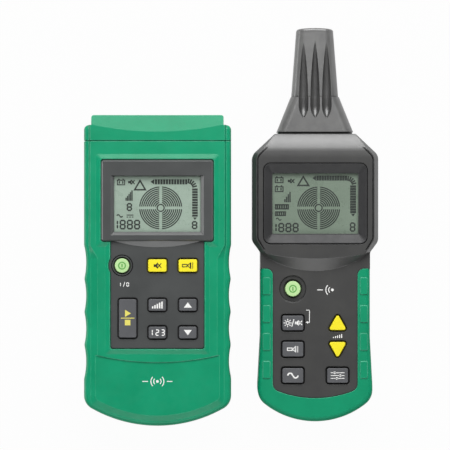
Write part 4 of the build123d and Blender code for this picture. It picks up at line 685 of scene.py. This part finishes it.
def addSignal(sheet, pitch, stroke, sides):
    # dot with two arcs on each side named, and a short line beyond them
    addDisc(sheet, 0, 0, signalShape["dot"] * pitch)
    for side in sides:
        for radius in signalShape["arcs"]:
            addArc(sheet, 0, 0, radius * pitch, stroke, [(side, 1), (side, -1)])
        addBar(sheet, side * signalShape["lineOut"] * pitch, 0, signalShape["line"] * pitch, stroke)


cellShape = {
    "studsApart": 0.26,  # shares of the width
    "barsApart": 0.208,
    "stud": (0.9, 0.6),
    "barWidth": 0.8,
    "barRoom": 3,  # strokes left free above and below, together
}


def addCell(sheet, x, y, width, height, stroke):
    # small battery with two studs and two bars in it
    addFrame(sheet, x, y, width, height, stroke)
    studUp = (height + cellShape["stud"][1]) / 2
    barHeight = height - cellShape["barRoom"] * stroke
    for side in (-1, 1):
        addBar(sheet, x + side * cellShape["studsApart"] * width, y + studUp, *cellShape["stud"])
        addBar(sheet, x + side * cellShape["barsApart"] * width, y, cellShape["barWidth"], barHeight)


darkBoxShape = {"rim": 0.24, "slot": 0.4, "overlap": 0.02}  # the rim is a share of the height


def addDarkBox(sheet, x, y, width, height, count):
    # dark box with a row of clear slots
    rim = darkBoxShape["rim"] * height
    pitch = (width - 2 * rim) / count
    bar = (pitch - darkBoxShape["slot"], height - 2 * rim + darkBoxShape["overlap"])
    addFrame(sheet, x, y, width, height, rim)
    for step in range(count):
        addBar(sheet, x - width / 2 + rim + (step + 0.5) * pitch, y, *bar)


def addTarget(sheet, lcd):
    # rings in four quarters round a small circle
    x, y = lcd["target"]
    middle = sheet + Vector((x, y, 0)) * mm
    keepAside()
    for ring in range(lcd["rings"]):
        radius = lcd["ringRadius"] - ring * lcd["ringPitch"]
        addRing(sheet, x, y, radius, lcd["ringStroke"], lcd["ringSides"])
    for side in ((1, 0), (0, 1)):
        trim(middle + Vector((*side, 0)) * lcd["crossGap"] / 2 * mm, side)
    for turn in (180, 90):  # the quarter that is left becomes two, then four
        bpy.ops.mesh.select_all(action="SELECT")
        bpy.ops.mesh.duplicate()
        turnPart(turn, middle)
    addRing(sheet, x, y, lcd["hubRadius"], lcd["hubStroke"])
    bringBack()


def addTrack(sheet, lcd):
    # segmented bar along the top, round the corner and down the right side, with an arrow at each end
    left, right, topY, topWidth = lcd["topTrack"]
    high, low, sideX, sideWidth = lcd["sideTrack"]
    pitch = (right - left) / lcd["topCount"]
    for step in range(lcd["topCount"]):
        addBar(sheet, left + (step + 0.5) * pitch, topY, pitch - lcd["trackGap"], topWidth)
    pitch = (high - low) / lcd["sideCount"]
    for step in range(lcd["sideCount"]):
        addBar(sheet, sideX, high - (step + 0.5) * pitch, sideWidth, pitch - lcd["trackGap"])
    beyond, *size = lcd["topArrow"]
    addTriangle(sheet, left - beyond, topY, *size, turn=90)
    beyond, *size = lcd["sideArrow"]
    addTriangle(sheet, sideX, low - beyond, *size, turn=180)
    reach = (topY - high + sideX - right) / 2 + lcd["cornerOut"]
    for turn in lcd["cornerTurns"]:
        way = math.radians(turn)
        tick = (right + reach * math.cos(way), high + reach * math.sin(way))
        addBar(sheet, *tick, *lcd["cornerTick"], turn=turn)


# Marks on the displays, millimetres from the middle of each window

txLcd = {
    "middle": 135.6,  # above the unit's lower end
    "target": (2.0, -2.3),
    "rings": 9,
    "ringRadius": 13.1,
    "ringPitch": 1.17,
    "ringStroke": 0.72,
    "ringSides": 96,
    "crossGap": 1.7,
    "hubRadius": 2.5,
    "hubStroke": 0.75,
    "topTrack": (-1.7, 18.4, 13.6, 3.1),  # left, right, height, width
    "topCount": 12,
    "topArrow": (1.35, 3.4, 2.3),  # beyond the end, width, height
    "sideTrack": (9.7, -7.8, 22.9, 3.4),  # top, bottom, place, width
    "sideCount": 11,
    "sideArrow": (1.1, 2.4, 1.6),
    "trackGap": 0.3,
    "cornerTurns": (82, 65, 48, 31, 14),
    "cornerOut": 0.2,
    "cornerTick": (2.9, 0.95),
    "triangle": (-10.6, 11.8, 8.2, 7.0),  # from here on, place across and up, then the sizes
    "triangleStroke": 0.95,
    "cells": ((-22.2, 13.2, 5.0, 3.4, 0.6),),
    "speaker": (-16.0, 13.4, 4.0, 0.65),
    "levels": (-17.3, 5.2, 4.4, 6.4, 5, 0.76),
    "darkBoxes": (),
    "wave": (-23.0, -7.2, 3.6, 0.75),
    "directSign": (  # a line over three dashes
        (-16.7, -6.7, 4.2, 0.6),
        (-18.3, -7.9, 1.0, 0.6),
        (-16.7, -7.9, 1.0, 0.6),
        (-15.1, -7.9, 1.0, 0.6),
    ),
    "one": (-25.4, -12.5, 3.0, 6.0, 1.0),
    "eights": (
        (-17.1, -1.8, 3.4, 5.0, 0.95),
        (-21.2, -12.5, 3.8, 6.0, 1.0),
        (-16.8, -12.5, 3.8, 6.0, 1.0),
        (-12.4, -12.5, 3.8, 6.0, 1.0),
        (22.7, -12.8, 3.5, 5.0, 0.95),
    ),
}
rxLcd = dict(
    txLcd,
    middle=133.6,
    target=(2.1, -2.7),
    topTrack=(0.7, 19.6, 15.6, 3.0),
    topArrow=(1.35, 3.3, 2.3),
    sideTrack=(11.2, -6.0, 23.2, 3.6),
    trackGap=0.18,
    triangle=(-7.3, 14.0, 8.2, 6.8),
    cells=((-22.1, 14.3, 5.4, 3.6, 0.65), (-22.1, 8.8, 5.4, 3.6, 0.65)),
    speaker=(-14.9, 13.8, 4.0, 0.65),
    levels=(-17.0, 4.0, 4.0, 6.4, 4, 0.85),
    darkBoxes=((-20.4, -2.0, 8.6, 3.3, 5), (-21.3, -6.2, 6.8, 2.9, 4)),
    wave=(-22.4, -9.6, 3.2, 0.6),
    directSign=(),
    one=(-25.0, -14.7, 3.0, 5.8, 1.0),
    eights=(
        (-20.8, -14.7, 3.8, 5.8, 1.0),
        (-16.4, -14.7, 3.8, 5.8, 1.0),
        (-12.0, -14.7, 3.8, 5.8, 1.0),
        (22.9, -14.4, 3.5, 5.8, 0.95),
    ),
)
for unit, lcd in (("transmitter", txLcd), ("receiver", rxLcd)):
    sheet = home[unit] + Vector((0, lcd["middle"] * mm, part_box(unit + "_display")[1].z))
    piece = startPiece(unit + "_display_marks")
    addTarget(sheet, lcd)
    addTrack(sheet, lcd)
    addTriangle(sheet, *lcd["triangle"])
    hollowOut(lcd["triangleStroke"])
    for cell in lcd["cells"]:
        addCell(sheet, *cell)
    addSpeaker(sheet, *lcd["speaker"])
    addLevels(sheet, *lcd["levels"])
    for darkBox in lcd["darkBoxes"]:
        addDarkBox(sheet, *darkBox)
    addWave(sheet, *lcd["wave"])
    for bar in lcd["directSign"]:
        addBar(sheet, *bar)
    addFigure(sheet, *lcd["one"], "bc")
    for eight in lcd["eights"]:
        addFigure(sheet, *eight)
    endPiece(piece, "segmentInk", unit)
print("display marks drawn")

# Marks on the keys, millimetres from the middle of each key


def keySheet(key):
    low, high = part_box(key)
    return Vector(((low.x + high.x) / 2, (low.y + high.y) / 2, high.z))


powerMark = {"radius": 2.4, "stroke": 0.7, "sides": 48, "bar": (0.75, 2.2)}
for key in ("transmitter_power_key", "receiver_power_key"):
    sheet = keySheet(key)
    piece = startPiece(key + "_mark")
    addRing(sheet, 0, 0, powerMark["radius"], powerMark["stroke"], powerMark["sides"])
    addBar(sheet, 0, 0, *powerMark["bar"])
    endPiece(piece, "greenInk", key)

muteMark = {"size": 4.6, "stroke": 0.55}
piece = startPiece("transmitter_mute_key_mark")
addSpeaker(keySheet("transmitter_mute_key"), 0, 0, muteMark["size"], muteMark["stroke"])
endPiece(piece, "blackInk", "transmitter_mute_key")

torchMark = {"size": 6.8, "stroke": 0.55}
for key, inkName in (("transmitter_torch_key", "blackInk"), ("receiver_torch_key", "whiteInk")):
    piece = startPiece(key + "_mark")
    addTorch(keySheet(key), 0, 0, torchMark["size"], torchMark["stroke"])
    endPiece(piece, inkName, key)

startMark = {"arrow": (0.2, 3.1, 4.4, 3.6), "line": (0, 0.2, 8.2, 0.5), "block": (0, -2.5, 3.4, 3.4)}
sheet = keySheet("transmitter_start_key")
piece = startPiece("transmitter_start_key_mark")
addTriangle(sheet, *startMark["arrow"], turn=-90)
addBar(sheet, *startMark["line"])
addBar(sheet, *startMark["block"])
endPiece(piece, "yellowInk", "transmitter_start_key")

levelMark = {"size": (6.6, 4.2), "count": 5, "stroke": 0.9}
sheet = keySheet("transmitter_level_key")
piece = startPiece("transmitter_level_key_mark")
addLevels(sheet, 0, 0, *levelMark["size"], levelMark["count"], levelMark["stroke"])
endPiece(piece, "whiteInk", "transmitter_level_key")

arrowMark = {"size": (4.9, 3.2)}
for key, turn in (("transmitter_up_key", 0), ("transmitter_down_key", 180)):
    piece = startPiece(key + "_mark")
    addTriangle(keySheet(key), 0, 0, *arrowMark["size"], turn=turn)
    endPiece(piece, "whiteInk", key)

codeMark = {"size": (2.3, 4.0, 0.62), "figures": ((-3.875, "bc"), (0, "abdeg"), (3.41, "abcdg"))}
sheet = keySheet("transmitter_code_key")
piece = startPiece("transmitter_code_key_mark")
for place, bars in codeMark["figures"]:
    addFigure(sheet, place, 0, *codeMark["size"], bars)
endPiece(piece, "whiteInk", "transmitter_code_key")

lightMark = {
    "sun": (-3.2, 0, 4.8, 0.5),
    "slash": (0, 0, 0.55, 4.8),
    "slashTurn": -16,
    "speaker": (3.3, 0, 4.4, 0.55),
}
sheet = keySheet("receiver_light_key")
piece = startPiece("receiver_light_key_mark")
addSun(sheet, *lightMark["sun"])
addBar(sheet, *lightMark["slash"], turn=lightMark["slashTurn"])
addSpeaker(sheet, *lightMark["speaker"])
endPiece(piece, "whiteInk", "receiver_light_key")

mainsMark = {"size": 6.6, "stroke": 0.9}
piece = startPiece("receiver_mains_key_mark")
addWave(keySheet("receiver_mains_key"), 0, 0, mainsMark["size"], mainsMark["stroke"])
endPiece(piece, "whiteInk", "receiver_mains_key")

slidersMark = {"line": (8.4, 0.42), "knob": 0.75, "rows": ((1.7, -1.8), (0, 1.7), (-1.7, -0.5))}
sheet = keySheet("receiver_manual_key")
piece = startPiece("receiver_manual_key_mark")
for row, knobPlace in slidersMark["rows"]:
    addBar(sheet, 0, row, *slidersMark["line"])
    addDisc(sheet, knobPlace, row, slidersMark["knob"])
endPiece(piece, "whiteInk", "receiver_manual_key")
print("key marks drawn")

# Prints on the fronts, millimetres from the middle of each unit's lower end

# figures for on and off under the transmitter's power key
txPrint = {
    "spot": (-20.3, 86.6),
    "figure": (1.7, 2.6, 0.5),
    "oneAcross": -2.8,
    "zeroAcross": 2.2,
    "slash": (0.4, 3.0),
    "slashTurn": -18,
}
sheet = home["transmitter"] + Vector((0, 0, keypadTop["transmitter"] * mm))
piece = startPiece("transmitter_keypad_print")
x, y = txPrint["spot"]
addFigure(sheet, x + txPrint["oneAcross"], y, *txPrint["figure"], "bc")
addBar(sheet, x, y, *txPrint["slash"], turn=txPrint["slashTurn"])
addFigure(sheet, x + txPrint["zeroAcross"], y, *txPrint["figure"], "abcdef")
endPiece(piece, "whiteInk", "transmitter")

# level bars between the receiver's arrow keys, and a thin arrow that leads to its light key
rxPrint = {
    "levels": (13.7, 52.4, 5.6, 2.4, 5, 0.6),
    "corner": (-3.5, 68.3),
    "stroke": 0.45,
    "head": 2.0,
    "drop": 7.5,
    "foot": 1.0,
    "tipOut": 1.6,
    "tip": (1.7, 1.4),
}
sheet = home["receiver"] + Vector((0, 0, keypadTop["receiver"] * mm))
piece = startPiece("receiver_keypad_print")
addLevels(sheet, *rxPrint["levels"])
x, y = rxPrint["corner"]
footY = y - rxPrint["drop"]
addBar(sheet, x - rxPrint["head"] / 2, y, rxPrint["head"], rxPrint["stroke"])
addBar(sheet, x, y - rxPrint["drop"] / 2, rxPrint["stroke"], rxPrint["drop"] + rxPrint["stroke"])
addBar(sheet, x - rxPrint["foot"] / 2, footY, rxPrint["foot"], rxPrint["stroke"])
addTriangle(sheet, x - rxPrint["tipOut"], footY, *rxPrint["tip"], turn=90)
endPiece(piece, "whiteInk", "receiver")

# signal signs: sending on the transmitter's lower plate, receiving beside the receiver's power key
signalPrint = {
    "pitch": 1.7,
    "stroke": 0.55,
    "spots": {"transmitter": (0, 27.4, 39.4), "receiver": (10.5, 80.7, keypadTop["receiver"])},
    "sides": {"transmitter": (-1, 1), "receiver": (-1,)},
}
for unit, spot in signalPrint["spots"].items():
    sheet = home[unit] + Vector(spot) * mm
    piece = startPiece(unit + "_signal_print")
    addSignal(sheet, signalPrint["pitch"], signalPrint["stroke"], signalPrint["sides"][unit])
    endPiece(piece, "whiteInk", unit)
print("keypad prints drawn")
